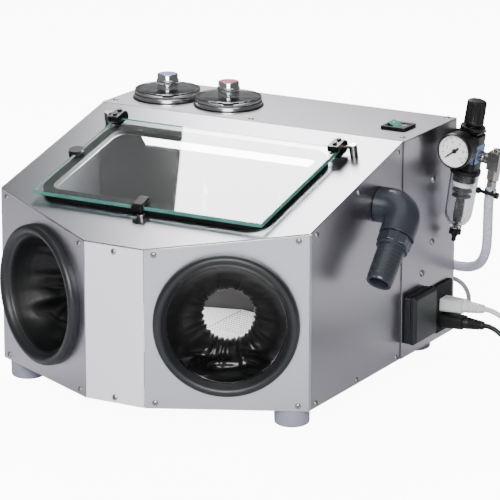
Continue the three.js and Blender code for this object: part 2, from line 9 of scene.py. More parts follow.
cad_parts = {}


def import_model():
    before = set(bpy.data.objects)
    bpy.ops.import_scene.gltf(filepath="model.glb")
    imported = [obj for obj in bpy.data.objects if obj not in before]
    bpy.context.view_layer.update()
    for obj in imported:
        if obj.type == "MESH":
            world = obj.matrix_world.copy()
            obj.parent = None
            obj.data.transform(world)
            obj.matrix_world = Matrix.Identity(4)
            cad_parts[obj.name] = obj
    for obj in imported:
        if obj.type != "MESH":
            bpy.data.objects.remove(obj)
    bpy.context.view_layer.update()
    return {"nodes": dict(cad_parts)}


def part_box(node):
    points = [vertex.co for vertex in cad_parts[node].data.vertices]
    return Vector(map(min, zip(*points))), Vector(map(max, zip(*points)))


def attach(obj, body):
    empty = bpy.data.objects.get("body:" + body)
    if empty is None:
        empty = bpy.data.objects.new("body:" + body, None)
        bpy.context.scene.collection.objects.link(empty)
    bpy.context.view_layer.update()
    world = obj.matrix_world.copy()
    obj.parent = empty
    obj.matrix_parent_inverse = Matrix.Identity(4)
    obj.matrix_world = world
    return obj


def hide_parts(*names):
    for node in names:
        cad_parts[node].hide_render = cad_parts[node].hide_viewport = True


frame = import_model()
nodes = frame["nodes"]
print("frame: %d nodes" % len(nodes))

# cabinet coordinates, in millimetres: x from the centre plane, y from the side panels' front edge, z from
# the bench
rightLow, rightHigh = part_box("right_side_panel")
leftLow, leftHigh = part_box("left_side_panel")
centreX = (rightHigh.x + leftLow.x) / 2
frontY = rightLow.y - 0.006
halfWidth = 1000 * (rightHigh.x - leftLow.x) / 2
underside = 1000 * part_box("base_pan")[0].z
topZ = 1000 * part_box("top_plate")[1].z
slopeZ = underside + 242.2
noseDepth = 1000 * (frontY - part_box("centre_front_panel")[0].y)
noseHalf = 45.5
slopeAngle = math.atan2(topZ - slopeZ, 263)
facetAngle = math.atan2(noseDepth, halfWidth - noseHalf)


def at(x, y, z):
    return Vector((centreX + x / 1000, frontY + y / 1000, z / 1000))


def placed(x, y, z, *turns):
    place = Matrix.Translation(at(x, y, z))
    for angle, axis in turns:
        place = place @ Matrix.Rotation(angle, 4, axis)
    return place


bench = placed(0, 0, 0)
slope = placed(0, 0, slopeZ, (slopeAngle, "X"))
portX = (halfWidth + noseHalf) / 2
ports = {
    "right": placed(portX, -noseDepth / 2, underside + 117, (facetAngle, "Z"), (math.pi / 2, "X")),
    "left": placed(-portX, -noseDepth / 2, underside + 117, (-facetAngle, "Z"), (math.pi / 2, "X")),
}
unit = placed(272, 391.5, underside + 238.5, (math.radians(9), "Y"))


# camera: long lens from the right front, a little above
camera = {"azimuth": 29.5518, "elevation": 15.5915, "roll": 0.1018, "distance": 4.3534, "lens": 228.77}


def makeCamera():
    azimuth, elevation, roll = (math.radians(camera[k]) for k in ("azimuth", "elevation", "roll"))
    back = Vector((math.sin(azimuth) * math.cos(elevation), -math.cos(azimuth) * math.cos(elevation),
                   math.sin(elevation)))
    right = Vector((math.cos(azimuth), math.sin(azimuth), 0))
    up = back.cross(right)
    target = at(0, 120, 144) + right * 0.07193 + up * 0.03665
    turnedRight = right * math.cos(roll) + up * math.sin(roll)
    turnedUp = up * math.cos(roll) - right * math.sin(roll)
    data = bpy.data.cameras.new("camera")
    data.lens = camera["lens"]
    data.sensor_width = 36
    data.clip_end = 50
    view = bpy.data.objects.new("camera", data)
    bpy.context.scene.collection.objects.link(view)
    axes = Matrix((turnedRight, turnedUp, back)).transposed().to_4x4()
    view.matrix_world = Matrix.Translation(target + back * camera["distance"]) @ axes
    bpy.context.scene.camera = view


makeCamera()


# materials
def linear(hexColour, alpha=1.0):
    channels = [int(hexColour[i:i + 2], 16) / 255 for i in (1, 3, 5)]
    return [c / 12.92 if c <= 0.04045 else ((c + 0.055) / 1.055) ** 2.4 for c in channels] + [alpha]


def addNode(material, kind, values={}, links={}):
    node = material.node_tree.nodes.new("ShaderNode" + kind)
    for name, value in values.items():
        node.inputs[name].default_value = value
    for name, socket in links.items():
        material.node_tree.links.new(socket, node.inputs[name])
    return node


def ramp(material, socket, stops):
    node = addNode(material, "ValToRGB", links={"Fac": socket})
    elements = node.color_ramp.elements
    while len(elements) < len(stops):
        elements.new(0.5)
    for element, (position, colour) in zip(elements, stops):
        element.position = position
        element.color = colour if len(colour) == 4 else [*colour, 1]
    return node.outputs["Color"]


def grey(value):
    return (value, value, value, 1)


# the common body of every finish: mottled colour, uneven gloss and a fine surface grain
def finish(name, colour, roughness, metallic=0.0, patch=40, grain=1.2, bump=0.05, spread=0.06,
           stretch=(1, 1, 1),
           turn=0.0, roughSpread=0.06, sockets={}):
    material = bpy.data.materials.new(name)
    material.use_nodes = True
    tree = material.node_tree
    tree.nodes.clear()
    shader = addNode(material, "BsdfPrincipled", values={"Metallic": metallic, **sockets})
    addNode(material, "OutputMaterial", links={"Surface": shader.outputs["BSDF"]})
    where = addNode(material, "TexCoord")
    mapped = addNode(material, "Mapping", values={"Rotation": (0, 0, turn), "Scale": stretch},
                     links={"Vector": where.outputs["Object"]})
    clouds = addNode(material, "TexNoise", values={"Scale": 1000 / patch, "Detail": 3.0, "Roughness": 0.55},
                     links={"Vector": where.outputs["Object"]})
    fine = addNode(material, "TexNoise", values={"Scale": 1000 / grain, "Detail": 2.0, "Roughness": 0.6},
                   links={"Vector": mapped.outputs["Vector"]})
    base = linear(colour)
    dark = [c * (1 - spread) for c in base[:3]]
    light = [min(1.0, c * (1 + spread)) for c in base[:3]]
    tint = ramp(material, clouds.outputs["Fac"], [(0.3, dark), (0.7, light)])
    gloss = addNode(material, "MapRange",
                    values={"From Min": 0.25, "From Max": 0.75, "To Min": max(0.02, roughness - roughSpread),
                            "To Max": roughness + roughSpread}, links={"Value": fine.outputs["Fac"]})
    lift = addNode(material, "Bump", values={"Strength": bump, "Distance": 0.0005},
                   links={"Height": fine.outputs["Fac"]})
    tree.links.new(tint, shader.inputs["Base Color"])
    tree.links.new(gloss.outputs["Result"], shader.inputs["Roughness"])
    tree.links.new(lift.outputs["Normal"], shader.inputs["Normal"])
    return material


# stainless sheet, brushed along one direction: soft streaked reflections. The real scratches are about 0.1
# mm
# apart, drawn at 0.7 mm so that they show
def brushedSteel(name, colour, roughness=0.3, along="x", turn=0.0):
    stretch = {"x": (0.03, 1, 1), "y": (1, 0.03, 1)}[along]
    return finish(name, colour, roughness, metallic=1.0, patch=220, grain=0.7, bump=0.0015, spread=0.03,
                  stretch=stretch, turn=turn, roughSpread=0.012)


# one stainless sheet in lit and shaded copies: each panel's base colour is painted light and shade for how
# the light falls on it, darkest on the window panel and lightest on the right facet
steelSlope = brushedSteel("brushed stainless, window panel", "#7b7b80", 0.31)
steelTop = brushedSteel("brushed stainless, top plate", "#a5a2aa", 0.36)
steelRight = brushedSteel("brushed stainless, right facet", "#c4c7cd", 0.38, turn=-facetAngle)
steelLeft = brushedSteel("brushed stainless, left facet", "#b3b2b9", 0.36, turn=facetAngle)
steelSide = brushedSteel("brushed stainless, sides", "#a3a1a7", 0.31, along="y")
steelInside = brushedSteel("brushed stainless, inside", "#b4b2ae", 0.3)
# the partition's dark colour is painted shade and painted dark reflection; its dull gloss is its own
steelPartition = brushedSteel("brushed stainless, dull, painted dark as shade", "#4c4a4a", 0.4)
# white printed panel: satin, slightly lilac
panelWhite = finish("white printed panel, satin", "#f4f2f9", 0.4, patch=120, grain=2.0, bump=0.01,
                    spread=0.015)
# polished turned steel and nickel plate: nearly a mirror with faint turning marks
chromePolished = finish("polished chrome plate", "#d6d7da", 0.1, metallic=1.0, patch=30, grain=0.8,
                        bump=0.02,
                        spread=0.03, roughSpread=0.04)
nickelPlate = finish("nickel-plated brass fitting", "#b9b6b0", 0.24, metallic=1.0, patch=12, grain=1.0,
                     bump=0.04,
                     spread=0.08)
screwSteel = finish("stainless screw", "#a9a8ac", 0.28, metallic=1.0, patch=6, grain=0.8, bump=0.03)
brassTurned = finish("turned brass", "#b08d4c", 0.3, metallic=1.0, patch=10, grain=0.8)
# extruded black rubber: satin with a dusty bloom
rubberBlack = finish("extruded black rubber", "#060707", 0.6, patch=25, grain=1.4, bump=0.05, spread=0.15,
                     sockets={"Specular IOR Level": 0.2})
rubberRing = finish("moulded rubber ring", "#15181b", 0.4, patch=60, grain=1.6, bump=0.06, spread=0.12)


# rubber-coated sleeve cloth: deep black with wet-looking gloss and fine wrinkles
def sleeveCloth():
    material = finish("rubber-coated sleeve cloth", "#030304", 0.4, patch=18, grain=3.0, bump=0.06,
                      spread=0.25,
                      sockets={"Specular IOR Level": 0.4})
    shader = material.node_tree.nodes["Principled BSDF"]
    # dusty and dull above, wiped shiny where the cloth sags under its own weight
    where = addNode(material, "TexCoord")
    parts = addNode(material, "SeparateXYZ", links={"Vector": where.outputs["Object"]})
    gloss = addNode(material, "MapRange",
                    values={"From Min": 0.085, "From Max": 0.125, "To Min": 0.2, "To Max": 0.56},
                    links={"Value": parts.outputs["Z"]})
    material.node_tree.links.new(gloss.outputs["Result"], shader.inputs["Roughness"])
    return material


sleeveGloss = sleeveCloth()
sleeveMatt = finish("rubber-coated sleeve cloth, dull", "#030405", 0.5, patch=30, grain=3.0, bump=0.08,
                    spread=0.2,
                    sockets={"Specular IOR Level": 0.35})
# injection-moulded ABS and nylon: fine spark-eroded texture
plasticBlack = finish("moulded black nylon", "#060708", 0.36, patch=15, grain=0.9, bump=0.04, spread=0.2,
                      sockets={"Specular IOR Level": 0.32})
# a darker copy of the black nylon for the inlet plate: the darker colour is painted shade, the matt gloss is
# its own
plasticMatt = finish("moulded black nylon, matt, painted darker as shade", "#020303", 0.62, patch=15, grain=0.9, bump=0.04,
                     spread=0.2,
                     sockets={"Specular IOR Level": 0.25})
plasticCharcoal = finish("moulded charcoal ABS", "#12171b", 0.36, patch=20, grain=0.9, bump=0.06,
                         spread=0.12)
pvcGrey = finish("dark grey pressure-pipe PVC", "#2b3036", 0.3, patch=60, grain=6.0, bump=0.0, spread=0.04,
                 roughSpread=0.01)
footGrey = finish("moulded grey foot plastic", "#8f91a0", 0.5, patch=20, grain=1.0, bump=0.05)
leadWhite = finish("flexible PVC, light grey", "#d6dcda", 0.42, patch=30, grain=1.2, bump=0.04, spread=0.03)
leadBlack = finish("flexible PVC, black", "#0a0e0c", 0.42, patch=30, grain=1.2, bump=0.04, spread=0.15)
dialWhite = finish("printed gauge dial", "#eeeef0", 0.5, patch=20, grain=1.5, bump=0.01, spread=0.01)
# black printing ink, also the colour of black parts; the same black is painted shade in the screw recesses
# and in the grate's fold slits
inkBlack = finish("black printing ink, also painted recess shade", "#050506", 0.5, patch=10, grain=1.0, bump=0.01)
labelBlue = finish("blue printed label film", "#6f86c4", 0.35, patch=8, grain=1.0, bump=0.01, spread=0.05)
rockerGreen = finish("moulded green polycarbonate", "#4f9a86", 0.2, patch=8, grain=1.2, bump=0.02,
                     spread=0.08,
                     sockets={"Emission Color": linear("#3c9c84"), "Emission Strength": 0.12})
inlayBlue = finish("anodised blue inlay", "#8f9cc8", 0.3, metallic=0.35, patch=8, grain=0.8, bump=0.02)
inlayRed = finish("anodised red inlay", "#c0607c", 0.3, metallic=0.35, patch=8, grain=0.8, bump=0.02)
filterWhite = finish("sintered filter element", "#d9d9d6", 0.7, patch=6, grain=0.6, bump=0.3)
powderWhite = finish("alumina blasting powder", "#cfcac4", 0.9, patch=4, grain=0.6, bump=0.5, spread=0.1)
steelGrate = finish("bright pickled stainless, perforated", "#e2e2e2", 0.5, metallic=0.6, patch=60,
                    grain=2.0,
                    bump=0.02)


# clear glass and plastic let light through to what is behind, which a solid refracting shader would darken
def clearMaterial(name, colour, roughness, ior):
    material = bpy.data.materials.new(name)
    material.use_nodes = True
    tree = material.node_tree
    tree.nodes.clear()
    shader = addNode(material, "BsdfPrincipled",
                     values={"Base Color": linear(colour), "Transmission Weight": 1.0, "IOR": ior})
    where = addNode(material, "TexCoord")
    haze = addNode(material, "TexNoise", values={"Scale": 25.0, "Detail": 3.0},
                   links={"Vector": where.outputs["Object"]})
    gloss = addNode(material, "MapRange", values={"To Min": roughness, "To Max": roughness + 0.03},
                    links={"Value": haze.outputs["Fac"]})
    tree.links.new(gloss.outputs["Result"], shader.inputs["Roughness"])
    path = addNode(material, "LightPath")
    through = addNode(material, "BsdfTransparent", values={"Color": linear(colour)})
    mixed = addNode(material, "MixShader")
    tree.links.new(path.outputs["Is Shadow Ray"], mixed.inputs[0])
    tree.links.new(shader.outputs["BSDF"], mixed.inputs[1])
    tree.links.new(through.outputs["BSDF"], mixed.inputs[2])
    addNode(material, "OutputMaterial", links={"Surface": mixed.outputs["Shader"]})
    return material


floatGlass = clearMaterial("clear float glass", "#eef6f3", 0.0, 1.52)
acrylicClear = clearMaterial("polished clear acrylic", "#eef2f2", 0.02, 1.49)
bowlClear = clearMaterial("moulded clear polycarbonate", "#f0f2f4", 0.04, 1.45)
gaugeCrystal = clearMaterial("acrylic gauge crystal", "#fafafa", 0.02, 1.45)
# the ground edge of float glass shows its green body colour
glassEdge = finish("ground edge of float glass", "#5b958d", 0.25, patch=30, grain=1.0, bump=0.05,
                   spread=0.12,
                   sockets={"Transmission Weight": 0.25, "IOR": 1.5})
# translucent PVC hose: milky, lilac, light comes through the wall
hoseMilky = finish("milky PVC hose", "#cfd0e0", 0.25, patch=20, grain=2.0, bump=0.03, spread=0.04,
                   sockets={"Transmission Weight": 0.35, "IOR": 1.4, "Subsurface Weight": 0.15})
tubeGrey = finish("grey polyurethane tube", "#85858f", 0.35, patch=20, grain=1.5, bump=0.02)


def lampMaterial():
    material = finish("opal lamp diffuser", "#ffffff", 0.4, patch=20, grain=1.0, bump=0.0)
    shader = material.node_tree.nodes["Principled BSDF"]
    shader.inputs["Emission Color"].default_value = linear("#fbfdff")
    shader.inputs["Emission Strength"].default_value = 12.0
    return material


opalLamp = lampMaterial()

print("materials: %d" % len(bpy.data.materials))


# mesh helpers, in millimetres
def turnedMesh(profile, steps=64, closed=False):
    bm = bmesh.new()
    verts = [bm.verts.new((r, 0, h)) for r, h in profile]
    edges = [bm.edges.new(pair) for pair in zip(verts, verts[1:] + (verts[:1] if closed else []))]
    bmesh.ops.spin(bm, geom=verts + edges, cent=(0, 0, 0), axis=(0, 0, 1), angle=2 * math.pi, steps=steps,
                   use_merge=True)
    bmesh.ops.remove_doubles(bm, verts=bm.verts, dist=0.001)
    bmesh.ops.recalc_face_normals(bm, faces=bm.faces)
    return bm


def extrudedMesh(points, depth):
    bm = bmesh.new()
    face = bm.faces.new([bm.verts.new((x, y, 0)) for x, y in points])
    grown = bmesh.ops.extrude_face_region(bm, geom=[face])["geom"]
    bmesh.ops.translate(bm, verts=[g for g in grown if isinstance(g, bmesh.types.BMVert)], vec=(0, 0, depth))
    bmesh.ops.recalc_face_normals(bm, faces=bm.faces)
    return bm


def roundedOutline(x0, x1, y0, y1, r, steps=6):
    points = []
    corners = [(x1 - r, y0 + r, -90), (x1 - r, y1 - r, 0), (x0 + r, y1 - r, 90), (x0 + r, y0 + r, 180)]
    for cx, cy, start in corners:
        for i in range(steps + 1):
            angle = math.radians(start + 90 * i / steps)
            points.append((cx + r * math.cos(angle), cy + r * math.sin(angle)))
    return points


def boxMesh(x0, x1, y0, y1, z0, z1):
    bm = bmesh.new()
    size = Matrix.Diagonal((x1 - x0, y1 - y0, z1 - z0, 1))
    middle = Matrix.Translation(((x0 + x1) / 2, (y0 + y1) / 2, (z0 + z1) / 2))
    bmesh.ops.create_cube(bm, size=1, matrix=middle @ size)
    return bm


# adds copies of one mesh at several places, then frees it
def gathered(*pairs):
    whole = bmesh.new()
    for bm, places in pairs:
        for place in places:
            mesh = bpy.data.meshes.new("copy")
            bm.to_mesh(mesh)
            mesh.transform(place)
            whole.from_mesh(mesh)
            bpy.data.meshes.remove(mesh)
        bm.free()
    return whole


def here(x=0, y=0, z=0, *turns):
    place = Matrix.Translation((x, y, z))
    for angle, axis in turns:
        place = place @ Matrix.Rotation(angle, 4, axis)
    return place


# turns a finished bmesh into a piece of the object, riding on a body
def addPiece(name, bm, place, materials, body="cabinet", slot=None, replaces=(), bevel=0.0, segments=2,
             smooth=35, pick=None, solid=0.0):
    materials = materials if isinstance(materials, (list, tuple)) else [materials]
    bmesh.ops.transform(bm, matrix=place @ Matrix.Scale(0.001, 4), verts=bm.verts)
    if pick:
        for face in bm.faces:
            face.material_index = pick(face)
    mesh = bpy.data.meshes.new(name)
    bm.to_mesh(mesh)
    bm.free()
    for material in materials:
        mesh.materials.append(material)
    mesh.shade_smooth()
    mesh.set_sharp_from_angle(angle=math.radians(smooth))
    obj = bpy.data.objects.new(name, mesh)
    bpy.context.scene.collection.objects.link(obj)
    if solid:
        wall = obj.modifiers.new("wall", "SOLIDIFY")
        wall.thickness = solid / 1000
        wall.offset = 0
    if bevel:
        edge = obj.modifiers.new("edges", "BEVEL")
        edge.width = bevel / 1000
        edge.segments = segments
        edge.limit_method = "ANGLE"
        edge.angle_limit = math.radians(32)
        edge.harden_normals = True
    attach(obj, body)
    if replaces:
        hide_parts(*replaces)
    return obj


def turnedPiece(name, profile, steps, place, material, closed=False, **options):
    return addPiece(name, turnedMesh(profile, steps, closed), place, material, **options)


# a CAD node's own shape with its edges rounded
def refined(node, materials, body="cabinet", bevel=0.4, segments=2, pick=None):
    bm = bmesh.new()
    bm.from_mesh(nodes[node].data)
    bmesh.ops.remove_doubles(bm, verts=bm.verts, dist=1e-6)
    bmesh.ops.dissolve_limit(bm, angle_limit=math.radians(1), verts=bm.verts, edges=bm.edges)
    bmesh.ops.scale(bm, vec=(1000, 1000, 1000), verts=bm.verts)
    return addPiece(node + "_shell", bm, here(), materials, body, replaces=(node,), bevel=bevel,
                    segments=segments, smooth=30, pick=pick)


# a smooth line through given points, as [x, y, z] in the frame's metres
def smoothLine(points, count):
    points = [Vector(p) for p in points]
    padded = [2 * points[0] - points[1]] + points + [2 * points[-1] - points[-2]]
    line = []
    for i in range(count):
        t = i * (len(points) - 1) / (count - 1)
        k = min(int(t), len(points) - 2)
        p0, p1, p2, p3 = padded[k:k + 4]
        u = t - k
        d0, d1, d2 = (max(1e-9, (b - a).length) ** 0.5 for a, b in ((p0, p1), (p1, p2), (p2, p3)))
        m1 = (p1 - p0) / d0 - (p2 - p0) / (d0 + d1) + (p2 - p1) / d1
        m2 = (p2 - p1) / d1 - (p3 - p1) / (d1 + d2) + (p3 - p2) / d2
        m1, m2 = m1 * d1, m2 * d1
        line.append((2 * u ** 3 - 3 * u ** 2 + 1) * p1 + (u ** 3 - 2 * u ** 2 + u) * m1
                    + (3 * u ** 2 - 2 * u ** 3) * p2 + (u ** 3 - u ** 2) * m2)
    return line


def curvePiece(name, line, radius, material, replaces=(), sides=5):
    data = bpy.data.curves.new(name, "CURVE")
    data.dimensions = "3D"
    data.resolution_u = 4
    data.bevel_depth = radius / 1000
    data.bevel_resolution = sides
    data.use_fill_caps = True
    spline = data.splines.new("BEZIER")
    spline.bezier_points.add(len(line) - 1)
    for point, place in zip(spline.bezier_points, line):
        point.co = place
        point.handle_left_type = point.handle_right_type = "AUTO"
    data.materials.append(material)
    obj = bpy.data.objects.new(name, data)
    bpy.context.scene.collection.objects.link(obj)
    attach(obj, "cabinet")
    if replaces:
        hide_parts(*replaces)
    return obj


# mains leads: plug, drooping stretch, coil beside the cabinet, far plug
lead = {"diameter": 7.5, "coilRadius": 45, "turned": 1530, "layers": [3.85, 11.3, 18.72],
        "plugX": 308.7, "plugY": 387,
        "white": {"z": 74, "coil": (385, 478), "handed": 1, "start": 0, "tie": 215,
                  "route": [(326, 387.3, 71), (343, 388, 62.5), (361, 389.3, 48), (378, 391.6, 30),
                            (393, 396, 15),
                            (408, 404, 6.6), (421, 416, 4.2), (430, 432, 3.9), (433.75, 455, 3.9)]},
        "black": {"z": 50, "coil": (440, 332), "handed": -1, "start": 90, "tie": 150,
                  "route": [(326, 387, 46.5), (342, 386.8, 36), (358, 386.3, 22), (372, 385.2, 11.5),
                            (386, 383.4, 5.6), (399, 381.7, 4), (417, 380.75, 3.9)]}}


# just over four turns, two side by side and then on top; the winding steps to its next place along 60
# degrees
def coilLine(spec):
    inner, outer = lead["coilRadius"] - lead["diameter"] / 2, lead["coilRadius"] + lead["diameter"] / 2
    layers = lead["layers"]

    def between(angle, low, high):
        share = min(1, max(0, (angle - low) / (high - low)))
        return share * share * (3 - 2 * share)

    line = []
    for angle in range(0, lead["turned"] + 1, 15):
        radius = outer + (inner - outer) * (between(angle, 300, 360) - between(angle, 960, 1020))
        height = layers[0] + (layers[1] - layers[0]) * between(angle, 600, 660)
        height += (layers[2] - layers[1]) * between(angle, 1320, 1380)
        turn = math.radians(spec["start"] + spec["handed"] * angle)
        x, y = spec["coil"][0] + radius * math.cos(turn), spec["coil"][1] + radius * math.sin(turn)
        line.append(at(x, y, height))
    return line


def farPlug(name, spec, material):
    outer = lead["coilRadius"] + lead["diameter"] / 2
    start = math.sqrt((lead["coilRadius"] + lead["diameter"] + 0.6) ** 2 - (outer - 5) ** 2)
    x, y = spec["coil"]
    if name == "white":
        place = placed(x - start, y + outer, 18.8, (-math.pi / 2, "Y"))
    else:
        place = placed(x + outer, y - start, 18.8, (math.pi / 2, "X"))
    relief = [(0, 0), (4.6, 0)]
    for i in range(5):
        z = 2 + 4.4 * i
        r = 5.0 + 0.3 * i
        relief += [(r, z), (r, z + 2.6), (r - 0.6, z + 2.9), (r - 0.6, z + 4.1)]
    relief += [(6.9, 25), (9, 28.5), (13.5, 33), (16.6, 38), (18.2, 44), (18.4, 56), (17.8, 60.5),
               (16.5, 62),
               (0, 62)]
    body = turnedMesh(relief, 48)
    pin = turnedMesh([(0, 61.5), (1.9, 61.5), (1.9, 71), (2.4, 71.2), (2.4, 79.5), (1.6, 81), (0, 81)], 20)
    plug = addPiece(name + "_mains_plug", body, place, material, replaces=(name + "_far_plug",), smooth=40)
    pins = addPiece(name + "_plug_pins", gathered((pin, [here(0, -9.5), here(0, 9.5)])), place,
                    chromePolished,
                    smooth=40)
    tail = place @ Matrix.Scale(0.001, 4)
    return [plug, pins], [tail @ Vector((0, 0, -14)), tail @ Vector((0, 0, 3))]


# a strap round the bundle of turns, pulled tight, with its head outside
def coilTie(name, spec):
    x, y = spec["coil"]
    place = placed(x, y, 0, (math.radians(spec["tie"]), "Z"))
    inner = roundedOutline(37.7, 52.3, 0.8, 22.5, 2.9)
    strap = bmesh.new()
    loops = []
    for outline in (roundedOutline(37.0, 53.0, 0.15, 23.2, 3.4), inner):
        for z in (-1.6, 1.6):
            verts = [strap.verts.new((px, py, z)) for px, py in outline]
            loops.append([strap.edges.new((a, b)) for a, b in zip(verts, verts[1:] + verts[:1])])
    for a, b in ((0, 1), (2, 3), (0, 2), (1, 3)):
        bmesh.ops.bridge_loops(strap, edges=loops[a] + loops[b])
    bmesh.ops.recalc_face_normals(strap, faces=strap.faces)
    head = boxMesh(52.6, 56.2, 8, 13.5, -2.6, 2.6)
    whole = gathered((strap, [here()]), (head, [here()]))
    return addPiece(name + "_lead_tie", whole, place @ Matrix.Rotation(math.pi / 2, 4, "X"), plasticBlack,
                    bevel=0.3)


def nearPlug(name, spec, material):
    place = placed(halfWidth + 2.4, lead["plugY"], spec["z"], (math.pi / 2, "Y"))
    body = extrudedMesh(roundedOutline(-9.8, 9.8, -13.7, 13.7, 5, 3), 36)
    shoulders = [v for v in body.verts if v.co.z > 35]
    bmesh.ops.scale(body, vec=(0.88, 0.86, 1), verts=shoulders)
    profile = [(0, 34), (8.6, 34), (8.6, 42)]
    for i in range(5):
        z, r = 42.5 + 4.4 * i, 8.4 - 0.45 * i
        profile += [(r, z), (r, z + 2.9), (r - 1.1, z + 3.1), (r - 1.1, z + 4.1)]
    profile += [(6.1, 64.6), (5.6, 66), (0, 66)]
    relief = turnedMesh(profile, 40)
    whole = gathered((body, [here()]), (relief, [here()]))
    return addPiece(name + "_inlet_connector", whole, place, material, replaces=(name + "_plug",), bevel=0.7,
                    segments=3, smooth=40)


def makeLead(name, material):
    spec = lead[name]
    exitPoint = at(lead["plugX"], lead["plugY"], spec["z"])
    route = [exitPoint - Vector((0.002, 0, 0)), exitPoint + Vector((0.006, 0, 0))]
    route += [at(*p) for p in spec["route"]]
    farPieces, tail = farPlug(name, spec, material)
    line = smoothLine(route, 20) + coilLine(spec) + tail
    cord = curvePiece(name + "_mains_lead", line, lead["diameter"] / 2, material,
                      replaces=(name + "_cord", name + "_coil"))
    ties = [coilTie(name, spec)]
    [nearPlug(name, spec, material)] + farPieces + ties


makeLead("white", leadWhite)
makeLead("black", leadBlack)


# casing: folded sheets with rounded edges, each with its finish and edge radius, and the lamp behind the
# window
panels = {"base_pan": (steelInside, 0.4), "right_side_panel": (steelSide, 0.4),
          "left_side_panel": (steelSide, 0.4),
          "right_port_panel": (steelRight, 0.5), "left_port_panel": (steelLeft, 0.5),
          "centre_front_panel": (panelWhite, 0.5), "window_panel": (steelSlope, 0.5),
          "top_plate": (steelTop, 0.5),
          "rear_shell": (steelSide, 0.5), "partition_wall": (steelPartition, 0.4)}


def casing():
    for node, (material, edge) in panels.items():
        refined(node, material, bevel=edge)
    refined("lamp_tube", opalLamp, bevel=1.5, segments=3)


casing()
print("casing")


# perforated grate: rows of oblong holes in a bright sheet folded along its middle
grate = {"pitchX": 4.0, "pitchY": 7.6, "holeX": 1.25, "holeY": 2.9, "shift": 0.18, "half": 200,
         "ridge": 39.75,
         "edge": 22.75, "front": 12, "back": 246, "thickness": 0.5, "slits": 52, "slitPitch": 4.4}


# one cell of the sheet: a rectangle with an oblong hole, in eight faces
def grateCell(bm, x0, y0, width, height, side, fall):
    cx, cy = x0 + width * (0.5 + grate["shift"]), y0 + height / 2
    rim = [(x0, y0), (x0 + width / 2, y0), (x0 + width, y0), (x0 + width, cy), (x0 + width, y0 + height),
           (x0 + width / 2, y0 + height), (x0, y0 + height), (x0, cy)]
    turns = [math.radians(a) for a in (225, 270, 315, 0, 45, 90, 135, 180)]
    hole = [(cx + grate["holeX"] * math.cos(t), cy + grate["holeY"] * math.sin(t)) for t in turns]
    outer = [bm.verts.new((side * px, py, -fall * px)) for px, py in rim]
    inner = [bm.verts.new((side * px, py, -fall * px)) for px, py in hole]
    for i in range(8):
        j = (i + 1) % 8
        bm.faces.new((outer[i], outer[j], inner[j], inner[i]))


def perforatedGrate():
    bm = bmesh.new()
    rows = int((grate["back"] - grate["front"]) / grate["pitchY"])
    columns = int(grate["half"] / grate["pitchX"])
    height, width = (grate["back"] - grate["front"]) / rows, grate["half"] / columns
    fall = (grate["ridge"] - grate["edge"]) / grate["half"]
    for side in (-1, 1):
        for row in range(rows):
            for column in range(columns):
                grateCell(bm, column * width, grate["front"] + row * height, width, height, side, fall)
    bmesh.ops.remove_doubles(bm, verts=bm.verts, dist=0.01)
    bmesh.ops.recalc_face_normals(bm, faces=bm.faces)
    place = placed(0, 0, underside + grate["ridge"])
    addPiece("perforated_grate", bm, place, steelGrate, replaces=("floor_grate",), solid=grate["thickness"],
             smooth=20)
    # the slits along the fold are black boxes: painted shade for the dark seen through them
    slit = boxMesh(-0.7, 0.7, -1.5, 1.5, -0.3, 0.5)
    slits = [here(0, grate["front"] + grate["slitPitch"] * i + 3) for i in range(grate["slits"])]
    addPiece("fold_slits", gathered((slit, slits)), place, inkBlack, slot="stainless")


perforatedGrate()
print("grate")


# screws: pan heads with a cross recess, by head radius and by their places on each face of the casing
screw = {"casing": 4.2, "rear": 5.2, "rearOut": 1.8, "backY": 426,
         "sideSpots": [(18.8, 236), (134.4, 267.2), (249, 297.3), (18.7, 6), (134.2, 5.9), (252.4, 5)],
         "rearSpots": [(353.9, 236.6), (354.3, 146.7), (323.9, 108.8)],
         "facetSpots": [(13.4, 209.8), (202.3, 231.6), (14.6, 7.6), (202.3, 7.1)],
         "topSpots": [(-230, 281), (-3.8, 274.8), (230, 281), (-230, 418), (230, 418)]}


def screwHead(radius):
    bm = turnedMesh([(0, radius * 0.5), (radius * 0.35, radius * 0.5), (radius * 0.62, radius * 0.44),
                     (radius * 0.88, radius * 0.28), (radius, radius * 0.1), (radius, 0.02), (0, 0.02)], 24)
    # the cross recess is drawn as two black boxes through the head's crown: painted shade standing for the
    # recess
    slotA = boxMesh(-radius * 0.52, radius * 0.52, -radius * 0.1, radius * 0.1, radius * 0.2, radius * 0.54)
    slotB = boxMesh(-radius * 0.1, radius * 0.1, -radius * 0.52, radius * 0.52, radius * 0.2, radius * 0.54)
    return bm, slotA, slotB


